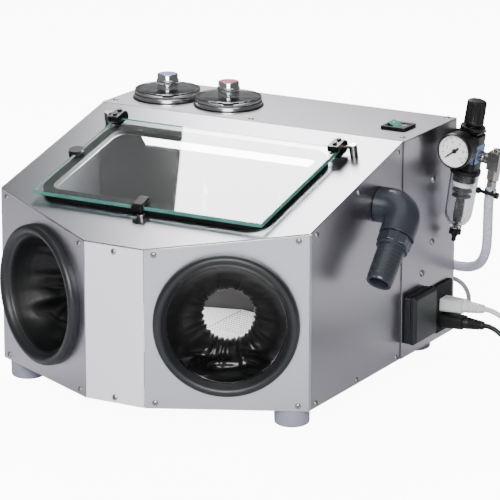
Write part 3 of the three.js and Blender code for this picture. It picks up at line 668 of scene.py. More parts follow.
def screws():
    small, large = [], []
    facetLength = math.hypot(halfWidth - noseHalf, noseDepth)
    for sign in (1, -1):
        out = (sign * math.pi / 2, "Y")
        small += [placed(sign * halfWidth, y, underside + z, out) for y, z in screw["sideSpots"]]
        large += [placed(sign * (halfWidth + screw["rearOut"]), y, underside + z, out) for y,
                  z in screw["rearSpots"]]
        flat = placed(sign * portX, -noseDepth / 2, underside, (sign * facetAngle, "Z"))
        for u, z in screw["facetSpots"]:
            spot = flat @ Vector((sign * (u - facetLength / 2) / 1000, 0, z / 1000))
            small.append(Matrix.Translation(spot) @ flat.to_3x3().to_4x4() @ Matrix.Rotation(math.pi / 2, 4,
                                                                                             "X"))
    small += [placed(0, -noseDepth, underside + z, (math.pi / 2, "X")) for z in (208, 7.8)]
    small += [placed(x, y, topZ) for x, y in screw["topSpots"]]
    small += [placed(x, screw["backY"], underside + z, (-math.pi / 2, "X"))
              for x in (-225, -75, 75, 225) for z in (12, 290)]
    random.seed(4)
    for name, places, radius in (("casing_screws", small, screw["casing"]),
                                 ("rear_shell_screws", large, screw["rear"])):
        spots = [p @ Matrix.Rotation(random.uniform(0, 1.5), 4, "Z") @ Matrix.Scale(0.001,
                                                                                    4) for p in places]
        head, slotA, slotB = screwHead(radius)
        addPiece(name, gathered((head, spots)), Matrix.Scale(1000, 4), screwSteel, smooth=40)
        addPiece(name + "_recess", gathered((slotA, spots), (slotB, spots)), Matrix.Scale(1000, 4), inkBlack)


screws()
print("screws")


# feet: moulded pucks, wider at the top
foot = {"steps": 64, "edge": 0.6,
        "profile": [(0, 0), (20.5, 0), (23, 1.5), (23.6, 4), (24, 23.7), (0, 23.7)]}


def feet():
    for name in ("front_left", "front_right", "rear_left", "rear_right"):
        low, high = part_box("foot_" + name)
        spot = Matrix.Translation(((low.x + high.x) / 2, (low.y + high.y) / 2, 0))
        turnedPiece("moulded_foot_" + name, foot["profile"], foot["steps"], spot, footGrey,
                    replaces=("foot_" + name,), bevel=foot["edge"])


feet()


# arm ports: a rounded rubber moulding round each opening
portRing = {"steps": 128,
            "profile": [(96.5, 0.3), (96.5, 6), (96.2, 9), (95.1, 11.6), (93, 13.6), (90.2, 14.3),
                        (87.4, 13.6),
                        (85, 11.8), (83.4, 9.4), (82.0, 7.0), (80.4, 5.6), (79.4, 4.4), (79.2, 0.3)]}


def portRings():
    for side, place in ports.items():
        turnedPiece("moulded_ring_" + side, portRing["profile"], portRing["steps"], place, rubberRing,
                    closed=True,
                    replaces=("port_ring_" + side,), smooth=60)


portRings()


# gathered sleeve: a short tube of coated cloth whose inner end is drawn together by its elastic
sleeve = {"right": {"profile": [(78.7, 3.2), (78.0, 1), (76.2, -3), (73.2, -9), (69.4, -16), (65, -22.5),
                                (59.6, -28),
                                (53.4, -32.5), (47, -36.2), (41.5, -39.4), (37.6, -42.6), (35.2, -46),
                                (34.4, -49)],
                    "pleats": 29, "depth": 2.0, "sag": 14, "broad": 7, "crease": 2.6, "seed": 3},
          "left": {"profile": [(78.7, 3.2), (78.0, 1), (76.6, -5), (74, -13), (70, -22), (64, -30),
                               (56, -37),
                               (47, -42), (37, -46.5), (28, -50), (20, -53), (13, -56), (7, -58)],
                   "pleats": 13, "depth": 1.8, "sag": 8, "broad": 12, "crease": 8, "seed": 11}}


def armSleeves():
    for side, place in ports.items():
        spec = sleeve[side]
        bm = turnedMesh(spec["profile"], 360)
        lengthwise = [e for e in bm.edges if abs(e.verts[0].co.z - e.verts[1].co.z) > 0.4]
        bmesh.ops.subdivide_edges(bm, edges=lengthwise, cuts=2, use_grid_fill=True)
        endRadius = spec["profile"][-1][0]
        seed = Vector((spec["seed"] * 7.3, 0, 0))
        for vert in bm.verts:
            radius = math.hypot(vert.co.x, vert.co.y)
            angle = math.atan2(vert.co.y, vert.co.x)
            around = Vector((math.cos(angle), math.sin(angle), 0))
            share = min(1, max(0, (78.7 - radius) / (78.7 - endRadius)))
            hump = math.sin(math.pi * min(1, share * 1.12)) if share < 0.89 else 0
            warp = angle + 0.22 * noise.noise(around * 2.2 + seed) + 0.07 * noise.noise(around * 7 + seed)
            strength = 0.55 + 0.9 * noise.noise(around * 3.7 + seed * 2)
            fold = math.sin(spec["pleats"] * warp) * share * spec["depth"] * max(0.25, strength)
            fold += math.sin(spec["pleats"] * 0.5 * warp + 1.3) * share * spec["depth"] * 0.5
            flat = Vector((vert.co.x, vert.co.y, 0)) * 0.03
            broad = noise.noise(Vector((flat.x * 0.5, flat.y * 1.3, 0)) + seed) * spec["broad"] * hump
            crease = noise.noise(Vector((flat.x * 1.0, flat.y * 2.4, 1)) + seed) * spec["crease"] * hump
            down = max(0, -around.y - 0.2)
            ripple = noise.noise(Vector((flat.x * 0.7 + flat.y * 0.5, flat.y * 2.3, 2)) + seed)
            sag = spec["sag"] * down * hump * (0.4 + 1.5 * ripple)
            vert.co.z += fold + broad + crease + sag
            if share > 0.75:
                ragged = 1 + (share - 0.75) * 0.14 * math.sin(spec["pleats"] * warp + 0.8)
                vert.co.x *= ragged
                vert.co.y *= ragged
        material = sleeveGloss if side == "right" else sleeveMatt
        area = sum(f.calc_area() for f in bm.faces) / 1e6
        around = 2 * math.pi * 0.0786
        obj = addPiece("gathered_sleeve_" + side, bm, place, material, replaces=("sleeve_" + side,),
                       smooth=80,
                       solid=0.9)
        print("sleeve %s: %.0f by %.0f mm" % (side, around * 1000, 1000 * area / around))


armSleeves()
print("feet, ports and sleeves")


# viewing window: rubber, glass with ground edges, clamps and handles, hinge posts and the stud that it
# rests on
window = {"hingeY": 214, "postX": 194.5, "pinX": 193.5, "pinZ": 12.5, "clampX": 174, "screwY": (201.5, 214),
          "screwZ": 21.7, "stud": (-1.5, -23.5),
          "held": {"hinge_clamp_left": (1.2, 3), "hinge_clamp_right": (1.2, 3), "front_handle": (2.2, 4),
                   "left_handle": (1.4, 3)},
          "post": [(0, 0.3), (5.5, 0.3), (5.5, 16.9), (4.9, 17.5), (0, 17.5)],
          "pin": [(0, 0), (2.5, 0), (2.5, 19.6), (2.1, 20), (0, 20)],
          "screw": [(0, 0), (3.6, 0), (3.6, 1.6), (3.0, 2.3), (0, 2.3)],
          "rest": [(0, 0.2), (5.5, 0.2), (5.5, 5.6), (4.8, 6.4), (0, 6.4)]}


def windowGroup():
    refined("window_gasket", rubberBlack, bevel=2.2, segments=4)
    out = slope.to_3x3() @ Vector((0, 0, 1))

    def onEdge(face):
        return 0 if abs(face.normal.dot(out)) > 0.9 else 1

    refined("window_glass", [floatGlass, glassEdge], body="window", bevel=0.5, pick=onEdge)
    for node, (edge, segments) in window["held"].items():
        refined(node, plasticBlack, body="window", bevel=edge, segments=segments)
    for side, name in ((1, "right"), (-1, "left")):
        pinPlace = here(side * window["pinX"], window["hingeY"], window["pinZ"], (-side * math.pi / 2, "Y"))
        post = gathered((turnedMesh(window["post"], 48), [here(side * window["postX"], window["hingeY"])]),
                        (turnedMesh(window["pin"], 24), [pinPlace]))
        addPiece("turned_hinge_post_" + name, post, slope, nickelPlate, replaces=("hinge_post_" + name,),
                 bevel=0.25)
        spots = [here(side * window["clampX"], y, window["screwZ"]) for y in window["screwY"]]
        addPiece("clamp_screw_" + name, gathered((turnedMesh(window["screw"], 6), spots)), slope, inkBlack,
                 body="window", bevel=0.25)
    rest = gathered((turnedMesh(window["rest"], 48), [here(*window["stud"])]))
    addPiece("window_rest_stud", rest, slope, nickelPlate)


windowGroup()
print("window")


# abrasive tanks, as radius and height over the top plate: spun vessel, seals, clear cap, turned knob and
# powder
tank = {"vessel": [(0, -96), (41, -96), (42, -95), (42, 0.2), (48, 0.2), (48, 5.2), (47.2, 6.2), (40.8, 6.2),
                   (40, 5.4), (40, -93), (39, -94), (4, -94), (4, 5.9), (3.4, 6.5), (0, 6.5)],
        "seal": [(41.2, 6.3), (46.8, 6.3), (47.4, 6.8), (46.8, 7.5), (41.2, 7.5), (40.8, 6.9)],
        "gasket": [(42.2, 0.02), (50.3, 0.02), (50.3, 0.9), (48.2, 1.2), (42.2, 1.2)],
        "cap": [(5, 8.2), (44, 8.2), (46.2, 7.7), (47, 8.5), (47.2, 12), (46.6, 13.4), (45, 13.8),
                (42.5, 13.2),
                (40.5, 13.2), (39, 13.7), (5, 13.7)],
        "knob": [(0, 7), (2.8, 7), (3.2, 7.4), (3.2, 14), (14.6, 14), (15.4, 14.7), (15.4, 22.9), (16.2, 24),
                 (16.3, 25.8), (15.2, 26.6), (14.9, 27.2), (14.9, 33.4), (14.2, 34.4), (13.2, 34.8),
                 (12.6, 34.2),
                 (0, 34.2)],
        "inlay": [(0, 34.25), (12.5, 34.25), (12.5, 34.6), (12.1, 34.9), (0, 34.9)],
        "powder": [(4.3, -93.8), (39.8, -93.8), (39.8, -44), (30, -41.5), (16, -40), (4.3, -42)]}


def tanks():
    for colour, inlay in (("blue", inlayBlue), ("red", inlayRed)):
        low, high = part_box(colour + "_cap")
        place = Matrix.Translation(((low.x + high.x) / 2, (low.y + high.y) / 2, topZ / 1000))
        lid, knob = colour + "_lid", colour + "_lid_knob"
        turnedPiece(colour + "_spun_tank", tank["vessel"], 96, place, chromePolished, slot="stainless",
                    replaces=(colour + "_tank",))
        turnedPiece(colour + "_tank_seal", tank["seal"], 96, place, rubberBlack, closed=True)
        turnedPiece(colour + "_flange_gasket", tank["gasket"], 96, place, rubberBlack, closed=True)
        turnedPiece(colour + "_clear_cap", tank["cap"], 96, place, acrylicClear, closed=True, body=lid,
                    replaces=(colour + "_cap",))
        turnedPiece(colour + "_turned_knob", tank["knob"], 96, place, chromePolished, body=knob,
                    replaces=(colour + "_knob",))
        turnedPiece(colour + "_knob_inlay", tank["inlay"], 64, place, inlay, body=knob)
        turnedPiece(colour + "_abrasive", tank["powder"], 64, place, powderWhite, closed=True, smooth=50)


tanks()
print("tanks")


# power switch: a rocker lit green on its left half, its right half black as painted shade for the
# pressed-down side, with a printed ring and bar
rocker = {"x": 198.5, "y": 330, "tilt": 0.19, "markX": 8.4, "markZ": 5.75, "markLift": math.atan2(3, 13),
          "ring": [(2.2, 0), (3.1, 0), (3.1, 0.15), (2.2, 0.15)]}


def powerSwitch():
    refined("switch_frame", plasticBlack, bevel=0.8, segments=3)

    # left faces take the green, right faces the black: the black is painted shade for the pressed-down half
    def leftHalf(face):
        return 0 if face.calc_center_median().x < at(rocker["x"], 0, 0).x else 1

    refined("switch_rocker", [rockerGreen, plasticBlack], body="rocker", bevel=0.6, segments=3,
            pick=leftHalf)
    ring = turnedMesh(rocker["ring"], 32, closed=True)
    bar = boxMesh(-0.45, 0.45, -3, 3, 0, 0.15)
    marks = gathered((ring, [here(rocker["markX"], 0, rocker["markZ"], (-rocker["markLift"], "Y"))]),
                     (bar, [here(-rocker["markX"], 0, rocker["markZ"], (rocker["markLift"], "Y"))]))
    addPiece("rocker_marks", marks, placed(rocker["x"], rocker["y"], topZ, (rocker["tilt"], "Y")), dialWhite,
             body="rocker", slot="green_plastic")


powerSwitch()


# exhaust elbow: a bend of pressure pipe out of the right side, with a hexagon nut and a ribbed hose nozzle
elbow = {"corner": (281.5, 196, 236.7), "down": (0, -0.695, -0.719), "startX": 240.6, "bend": 26, "leg": 45,
         "outer": 24.5, "inner": 20.5, "bendSteps": 24, "sides": 64, "ribs": 8, "ribPitch": 5.6,
         "nut": [(20, 0.4), (22, 0), (23.6, 1.2), (23.6, 13.8), (22, 15), (20, 15)]}


def elbowLine(corner, out, down):
    bend = elbow["bend"]
    line = [(Vector((elbow["startX"], corner.y, corner.z)), out),
            (Vector((corner.x - bend, corner.y, corner.z)), out)]
    for i in range(1, elbow["bendSteps"]):
        a = math.radians(90 * i / elbow["bendSteps"])
        spot = corner - out * bend * (1 - math.sin(a)) + down * bend * (1 - math.cos(a))
        line.append((spot, out * math.cos(a) + down * math.sin(a)))
    return line + [(corner + down * bend, down), (corner + down * elbow["leg"], down)]


def exhaustElbow():
    x, y, z = elbow["corner"]
    corner = Vector((x, y, underside + z))
    out, down = Vector((1, 0, 0)), Vector(elbow["down"]).normalized()
    side = out.cross(down)

    # rings of the tube wall are set square to the line, then bridged
    bm = bmesh.new()
    loops = {}
    for wall in ("outer", "inner"):
        radius = elbow[wall]
        loops[wall] = []
        for spot, direction in elbowLine(corner, out, down):
            across = side.cross(direction)
            verts = []
            for i in range(elbow["sides"]):
                t = 2 * math.pi * i / elbow["sides"]
                verts.append(bm.verts.new(spot + side * radius * math.cos(t) + across * radius * math.sin(t)))
            loops[wall].append([bm.edges.new((p, q)) for p, q in zip(verts, verts[1:] + verts[:1])])
        for a, b in zip(loops[wall], loops[wall][1:]):
            bmesh.ops.bridge_loops(bm, edges=a + b)
    bmesh.ops.bridge_loops(bm, edges=loops["outer"][0] + loops["inner"][0])
    bmesh.ops.bridge_loops(bm, edges=loops["outer"][-1] + loops["inner"][-1])
    bmesh.ops.recalc_face_normals(bm, faces=bm.faces)
    addPiece("moulded_elbow", bm, bench, pvcGrey, body="elbow", replaces=("exhaust_elbow",), bevel=0.8,
             segments=3,
             smooth=50)

    axes = Matrix((side, down.cross(side), down)).transposed().to_4x4()
    place = bench @ Matrix.Translation((corner + down * (elbow["leg"] + 0.3)) / 1000) @ axes
    profile = [(13.5, 0), (20.6, 0), (20.6, 15.4), (22.2, 16), (22.2, 18.6), (21.6, 19.2), (18.9, 19.4)]
    for i in range(elbow["ribs"]):
        z, r = 21.5 + elbow["ribPitch"] * i, 18.8 - 0.12 * i
        profile += [(r, z), (r + 0.35, z + 3.6), (r - 0.25, z + 4.1)]
    profile += [(17.6, 67.5), (17.5, 71.2), (16.9, 72), (14.3, 72), (13.5, 71.2)]
    turnedPiece("hose_nozzle_tail", profile, 96, place, pvcGrey, closed=True, body="elbow",
                replaces=("hose_nozzle",), smooth=40)
    turnedPiece("hose_nozzle_nut", elbow["nut"], 6, place, pvcGrey, closed=True, body="elbow", bevel=0.8,
                segments=3, smooth=30)


exhaustElbow()
print("switch and elbow")


# mains outlet with its sprung lid, and the inlet plate
socket = {"y": 303, "contactOut": 4.2, "contactZ": 54.5, "contactPitch": 9.5, "pinX": 252.2, "pinZ": 89.6,
          "contact": [(2.6, 0), (3.4, 0), (3.4, 0.6), (2.6, 0.6)],
          "pin": [(0, -30), (1.2, -30), (1.2, 30), (0, 30)]}


def mainsSide():
    refined("socket_housing", plasticCharcoal, bevel=1.2, segments=3)
    refined("socket_lid", plasticCharcoal, body="outlet_lid", bevel=0.9, segments=3)
    # the inlet plate's extra darkness is painted shade
    refined("inlet_plate", plasticMatt, bevel=0.8, segments=3)
    place = placed(halfWidth + socket["contactOut"], socket["y"], underside + socket["contactZ"],
                   (math.pi / 2, "Y"))
    spots = [here(0, -socket["contactPitch"]), here(0, socket["contactPitch"])]
    addPiece("outlet_contacts", gathered((turnedMesh(socket["contact"], 32, closed=True), spots)), place,
             brassTurned)
    pin = gathered((turnedMesh(socket["pin"], 20), [here(0, 0, 0, (math.pi / 2, "X"))]))
    addPiece("outlet_lid_pin", pin, placed(socket["pinX"], socket["y"], underside + socket["pinZ"]),
             plasticBlack,
             body="outlet_lid")


mainsSide()
print("mains outlet and inlet")


# filter-regulator, as radius and height on its own axis: knob, ring nut, clear bowl with its contents,
# drain cock
airUnit = {"bracket": [(-16, 15, -15, 15, 64, 67), (-16, -6, 14, 38.5, 64, 67),
                       (-24, -6, 35.5, 38.5, 28, 67),
                       (-74, -23, 35.5, 38.5, 28, 50)],
           "knob": [(5.5, 100), (5.5, 75), (12.6, 75), (13.4, 75.8), (14.2, 76.5), (14.2, 80), (13.2, 81),
                    (13.2, 106), (12.6, 108.4), (11.2, 109.8), (9, 110), (0, 110), (0, 100)],
           "ribDepth": 0.055, "ribAngle": 3.75,
           "ringNut": [(12.3, 67.4), (17.6, 67.4), (18, 68), (18, 72.2), (17.4, 73), (12.3, 73)],
           "bowl": [(20.5, 9.4), (20.6, 8.2), (20.3, 2), (20.1, -20), (19.6, -50), (18.9, -58), (16.8, -65),
                    (13, -70.4), (8.6, -73), (8, -78.3), (3.6, -78.3), (3.6, -71.5), (9, -69.6),
                    (13.6, -64.6),
                    (16.6, -57), (17.4, -50), (18, -20), (18.1, 9.4)],
           "bowlRing": [(18.6, 9.8), (21.6, 9.8), (21.6, 4.4), (20.9, 3.8), (20.8, 9.4), (18.6, 9.4)],
           "elementCap": [(0, 9), (16.6, 9), (16.6, -7.2), (15.8, -8), (0, -8)],
           "element": [(0, -8.2), (13.4, -8.2), (14, -9), (14, -15), (0, -15)],
           "baffles": [(0, -15.2), (9, -15.2), (9, -19), (14, -21), (14.2, -22.4), (8.4, -23.4), (8.4, -27),
                       (13.4, -29), (13.6, -30.6), (6.4, -31.4), (6, -40), (0, -40)],
           "spring": {"radius": 6.0, "wire": 1.1, "top": -40.5, "height": 24, "turns": 7},
           "stem": [(0, -40), (4.0, -40), (4.0, -64.8), (6.4, -65.4), (6.4, -67.6), (3.2, -69), (0, -69)],
           "cock": [(0, -69.6), (3, -69.6), (3, -79), (6.4, -79), (6.4, -80.5), (8.5, -81), (8.5, -86.4),
                    (7.8, -87.4), (4.2, -88.2), (3.9, -91), (3.2, -91.5), (3.2, -97.4), (2.6, -98),
                    (0, -98)],
           "lobes": 8, "lobeDepth": 0.09}


def springLine():
    spring = airUnit["spring"]
    line = []
    for i in range(12 * spring["turns"] + 1):
        a = 2 * math.pi * i / 12
        z = spring["top"] - spring["height"] * a / (2 * math.pi * spring["turns"])
        line.append(unit @ (Vector((spring["radius"] * math.cos(a), spring["radius"] * math.sin(a),
                                    z)) / 1000))
    return line


# makes the turned wall between two heights wavy: factor(angle) is how far out it goes
def wavyWall(bm, low, high, minRadius, factor):
    for vert in bm.verts:
        if low < vert.co.z < high and math.hypot(vert.co.x, vert.co.y) > minRadius:
            out = factor(math.atan2(vert.co.y, vert.co.x))
            vert.co.x *= out
            vert.co.y *= out


def regulator():
    plates = gathered(*[(boxMesh(*plate), [here()]) for plate in airUnit["bracket"]])
    addPiece("folded_regulator_bracket", plates, unit, plasticBlack, replaces=("regulator_bracket",),
             bevel=0.5)
    refined("regulator_body", plasticBlack, bevel=1.0, segments=3)
    refined("regulator_spindle", brassTurned, body="spindle", bevel=0.2)

    def rib(angle):
        return 1 + airUnit["ribDepth"] * (int(round(math.degrees(angle) / airUnit["ribAngle"])) % 4 < 2)

    knob = turnedMesh(airUnit["knob"], 96)
    wavyWall(knob, 80.5, 108.6, 12, rib)
    addPiece("ribbed_pressure_knob", knob, unit, plasticBlack, body="pressure_knob",
             replaces=("regulator_knob",),
             bevel=0.2, smooth=30)
    turnedPiece("bracket_ring_nut", airUnit["ringNut"], 12, unit, plasticBlack, closed=True, bevel=0.4)
    turnedPiece("clear_filter_bowl", airUnit["bowl"], 72, unit, bowlClear, closed=True,
                replaces=("filter_bowl",),
                smooth=45)
    turnedPiece("bowl_retaining_ring", airUnit["bowlRing"], 72, unit, plasticBlack, closed=True, smooth=30)
    turnedPiece("filter_element_cap", airUnit["elementCap"], 48, unit, plasticBlack, bevel=0.3)
    turnedPiece("filter_element", airUnit["element"], 48, unit, filterWhite, bevel=0.4)
    turnedPiece("baffle_stem", airUnit["baffles"], 48, unit, plasticBlack, smooth=30)
    curvePiece("drain_spring", springLine(), airUnit["spring"]["wire"], inkBlack, sides=2)
    turnedPiece("drain_stem", airUnit["stem"], 32, unit, plasticBlack, bevel=0.2)

    def lobe(angle):
        return 1 + airUnit["lobeDepth"] * math.cos(airUnit["lobes"] * angle)

    cock = turnedMesh(airUnit["cock"], 48)
    wavyWall(cock, -87.6, -80.8, 7, lobe)
    addPiece("moulded_drain_cock", cock, unit, plasticBlack, body="drain", replaces=("drain_cock",))
    sideLabel = unit @ Matrix.Translation((0.01705, 0, 0.036)) @ Matrix.Rotation(math.pi / 2, 4, "Y")
    addPiece("blue_label", extrudedMesh(roundedOutline(-13, 13, -13.5, 13.5, 1.2), 0.25), sideLabel,
             labelBlue)
    frontLabel = unit @ Matrix.Translation((0, -0.01705, 0.037)) @ Matrix.Rotation(math.pi / 2, 4, "X")
    addPiece("blue_front_label", extrudedMesh(roundedOutline(9.2, 16.4, -14, 14, 0.8), 0.2), frontLabel,
             labelBlue)


regulator()


# pressure gauge, as radius and height on its own axis. The scale starts at 135 degrees left of upright
gauge = {"out": 17, "up": 46, "startAngle": 135, "step": 27, "smallStep": 5.4, "tickRadius": 16.6,
         "faceZ": 30.8,
         "figureSize": 5.8, "figureRadius": 12.6,
         "case": [(0, 0.3), (5, 0.3), (5, 8.2), (20.6, 8.6), (23.6, 9.8), (24.6, 12), (24.7, 28.6),
                  (25, 29.2),
                  (25, 34.6), (24.5, 35.7), (23.7, 36), (22.9, 35.6), (22.7, 34.8), (22.7, 30.4), (0, 30.4)],
         "dial": [(0, 30.45), (22.5, 30.45), (22.5, 30.75), (0, 30.75)],
         "rim": [(22.0, 30.8), (22.6, 30.8), (22.6, 35.3), (22.0, 35.3)],
         "blade": [(-1.8, -8), (1.8, -8), (1.5, -2), (0.7, 17.5), (-0.7, 17.5), (-1.5, -2)],
         "hub": [(0, -0.4), (3.2, -0.4), (3.2, 1.3), (2.6, 1.8), (0, 1.8)],
         "pin": [(0, -2.2), (0.9, -2.2), (0.9, 0), (0, 0)],
         "crystal": [(0, 34.9), (22.5, 34.9), (22.5, 35.3), (12, 35.75), (0, 35.9)]}


def dialFigure(value, place):
    text = bpy.data.curves.new("dialFigure", "FONT")
    text.body = str(value)
    text.size = gauge["figureSize"]
    text.align_x = text.align_y = "CENTER"
    text.extrude = 0.06
    obj = bpy.data.objects.new("dialFigure", text)
    bpy.context.scene.collection.objects.link(obj)
    bpy.context.view_layer.update()
    mesh = bpy.data.meshes.new_from_object(obj)
    bpy.data.objects.remove(obj)
    bm = bmesh.new()
    bm.from_mesh(mesh)
    bpy.data.meshes.remove(mesh)
    bmesh.ops.remove_doubles(bm, verts=bm.verts, dist=0.001)
    angle = math.radians(gauge["startAngle"] + 90 - gauge["step"] * value)
    spot = Vector((gauge["figureRadius"] * math.cos(angle), gauge["figureRadius"] * math.sin(angle), 30.86))
    addPiece("dial_figure_%d" % value, bm, place @ Matrix.Translation(spot / 1000), inkBlack)


def pressureGauge():
    place = unit @ Matrix.Translation((0, -gauge["out"] / 1000, gauge["up"] / 1000)) @ Matrix.Rotation(
        math.pi / 2, 4, "X")
    turnedPiece("pressed_gauge_case", gauge["case"], 96, place, plasticBlack, replaces=("gauge_case",),
                smooth=32)
    turnedPiece("gauge_dial", gauge["dial"], 64, place, dialWhite, smooth=30)
    turnedPiece("gauge_reflector_rim", gauge["rim"], 96, place, chromePolished, closed=True, smooth=30)

    def onScale(degrees):
        return here(0, 0, gauge["faceZ"], (math.radians(degrees), "Z")) @ here(0, gauge["tickRadius"])

    ticks = [onScale(gauge["startAngle"] - gauge["step"] * i) for i in range(11)]
    smallTicks = [onScale(gauge["startAngle"] - gauge["smallStep"] * i) for i in range(51) if i % 5]
    marks = gathered((boxMesh(-0.42, 0.42, 0, 3.8, 0, 0.12), ticks),
                     (boxMesh(-0.2, 0.2, 1.4, 3.8, 0, 0.12), smallTicks))
    addPiece("dial_ticks", marks, place, inkBlack)
    for value in range(0, 11, 2):
        dialFigure(value, place)
    turn = here(0, 0, 32.4, (math.radians(gauge["startAngle"]), "Z"))
    needle = gathered((extrudedMesh(gauge["blade"], 0.5), [turn]), (turnedMesh(gauge["hub"], 40), [turn]),
                      (turnedMesh(gauge["pin"], 16), [turn]))
    addPiece("dial_needle", needle, place, inkBlack, body="needle", replaces=("gauge_needle",), bevel=0.1)
    turnedPiece("gauge_crystal", gauge["crystal"], 64, place, gaugeCrystal, smooth=30)


pressureGauge()
print("regulator and gauge")


# outlet fitting: stub, block, nuts and barb on the hose's axis, and the hose clamp
fitting = {"axisX": 42, "clampY": -8.6, "clampZ": -12.5,
           "stub": [(0, 17.3), (8, 17.3), (8, 24), (7.2, 24.6), (7.2, 26), (8, 26.6), (8, 34), (0, 34)],
           "upperNut": [(0, 5), (8.6, 5), (9.6, 6), (9.6, 19.4), (8.6, 20.4), (0, 20.4)],
           "lowerNut": [(0, -4.8), (6.6, -4.8), (7.6, -4), (7.6, 3.4), (6.6, 4.6), (0, 4.6)],
           "topPlug": [(0, 45.6), (6, 45.6), (6, 49.8), (5.2, 50.6), (0, 50.6)],
           "barb": [(0, -21.8), (3.9, -21.8), (3.9, -4), (0, -4)],
           "band": [(7.5, -8), (8.3, -8), (8.3, -17), (7.5, -17)],
           "screw": [(0, -15), (2.6, -15), (2.6, 15), (0, 15)],
           "head": [(0, 0), (4.4, 0), (4.8, 0.6), (4.8, 3.8), (4.2, 4.6), (0, 4.6)]}


def outletFitting():
    onAxis = [here(fitting["axisX"])]
    turned = [(turnedMesh(fitting[part], 6), onAxis) for part in ("upperNut", "lowerNut", "topPlug")]
    whole = gathered((turnedMesh(fitting["stub"], 48), [here(0, 0, 33, (math.pi / 2, "Y"))]),
                     (boxMesh(33, 51, -9, 9, 20, 46), [here()]), *turned,
                     (turnedMesh(fitting["barb"], 32), onAxis))
    addPiece("nickel_outlet_fitting", whole, unit, nickelPlate, replaces=("outlet_fitting",), bevel=0.7,
             segments=3, smooth=30)
    band = turnedMesh(fitting["band"], 48, closed=True)
    addPiece("hose_clamp_band", gathered((band, onAxis)), unit, chromePolished, bevel=0.2)

    def across(x, sign):
        return here(x, fitting["clampY"], fitting["clampZ"], (sign * math.pi / 2, "Y"))

    clampScrew = gathered((turnedMesh(fitting["screw"], 24), [across(fitting["axisX"], 1)]),
                          (turnedMesh(fitting["head"], 24), [across(54, 1), across(30, -1)]))
    addPiece("hose_clamp_screw", clampScrew, unit, plasticBlack, bevel=0.3)


outletFitting()


# air hose and pilot tube, fixed at both ends: listed points from the fitting or plate into the back
hose = {"radius": 7, "barb": (-0.0046, -0.024),
        "route": [(308.5, 392.5, 205), (307, 395, 180), (302.5, 401, 156), (290, 413, 135), (270, 430, 121),
                  (246, 444, 113.5), (220, 453, 112), (192, 456, 111), (171, 450, 111), (161, 436, 111),
                  (161, 426.3, 111)],
        "grommet": [(7.4, 0.1), (11, 0.1), (11, 3.2), (10, 4.4), (8.2, 5.2), (7.4, 5.2)]}
tube = {"radius": 3.2,
        "route": [(206, 426.3, 92), (206, 433, 92), (215, 446, 92), (229.6, 451, 91.5), (241, 453, 86),
                  (249, 454, 76), (252.5, 454, 64), (249, 453, 50), (238, 450, 42), (220, 445, 40),
                  (209, 434, 40),
                  (209, 426.3, 40)],
        "nut": [(3.6, 0.1), (6.4, 0.1), (7, 0.6), (7, 5.4), (6.2, 6.2), (3.6, 6.2)]}


def hoses():
    line = [unit @ Vector((0.042, 0, z)) for z in hose["barb"]] + [at(*p) for p in hose["route"]]
    curvePiece("air_supply_hose", smoothLine(line, 40), hose["radius"], hoseMilky, replaces=("air_hose",),
               sides=8)
    loop = [at(*p) for p in tube["route"]]
    curvePiece("pilot_air_tube", smoothLine(loop, 40), tube["radius"], tubeGrey, replaces=("pilot_tube",),
               sides=6)
    turnedPiece("hose_grommet", hose["grommet"], 40, placed(161, 426, 111, (-math.pi / 2, "X")), rubberBlack,
                closed=True, smooth=40)
    places = [Matrix.Scale(1000, 4) @ placed(x, 426, z, (-math.pi / 2, "X")) @ Matrix.Scale(0.001, 4)
              for x, z in ((206, 92), (209, 40))]
    nuts = gathered((turnedMesh(tube["nut"], 6, closed=True), places))
    addPiece("push_in_fittings", nuts, here(), nickelPlate, bevel=0.3)


hoses()
print("fitting and hoses")


# inside: the lamp's tray and end caps, and the two blasting handpieces parked on the partition
handpiece = {"spread": 60, "y": 238, "z": 128, "lean": -4,
             "grip": [(0, 0), (1.4, 0), (1.6, 16), (4.2, 24), (4.8, 30), (5.4, 60), (5.6, 92), (4.8, 98),
                      (3.2, 100), (3.2, 112), (0, 112)],
             "ring": [(5.3, 66), (6.4, 66.4), (6.4, 71.6), (5.3, 72)]}


def insideFittings():
    tray = boxMesh(-158, 158, 226, 249.6, 312, 314)
    for vert in tray.verts:
        if vert.co.y < 230:
            vert.co.z -= 4
    addPiece("lamp_tray", tray, bench, steelInside, bevel=0.4)
    caps = gathered((boxMesh(-7, 0, -13, 13, -9, 9), [here(-150.4, 237, 304), here(157.4, 237, 304)]))
    addPiece("lamp_end_caps", caps, bench, plasticBlack, bevel=1.0)
    for side, inlay, name in ((-1, inlayBlue, "blue"), (1, inlayRed, "red")):
        x = side * handpiece["spread"]
        parked = [here(x, handpiece["y"], handpiece["z"], (math.radians(handpiece["lean"]), "X"))]
        addPiece(name + "_blasting_handpiece", gathered((turnedMesh(handpiece["grip"], 40), parked)), bench,
                 chromePolished, smooth=40)
        ring = turnedMesh(handpiece["ring"], 40, closed=True)
        addPiece(name + "_handpiece_ring", gathered((ring, parked)), bench, inlay, smooth=40)
        clip = boxMesh(x - 9, x + 9, 232, 249.8, 176, 190)
        addPiece(name + "_handpiece_holder", clip, bench, plasticBlack, bevel=1.5, segments=3)


insideFittings()
print("pieces built")


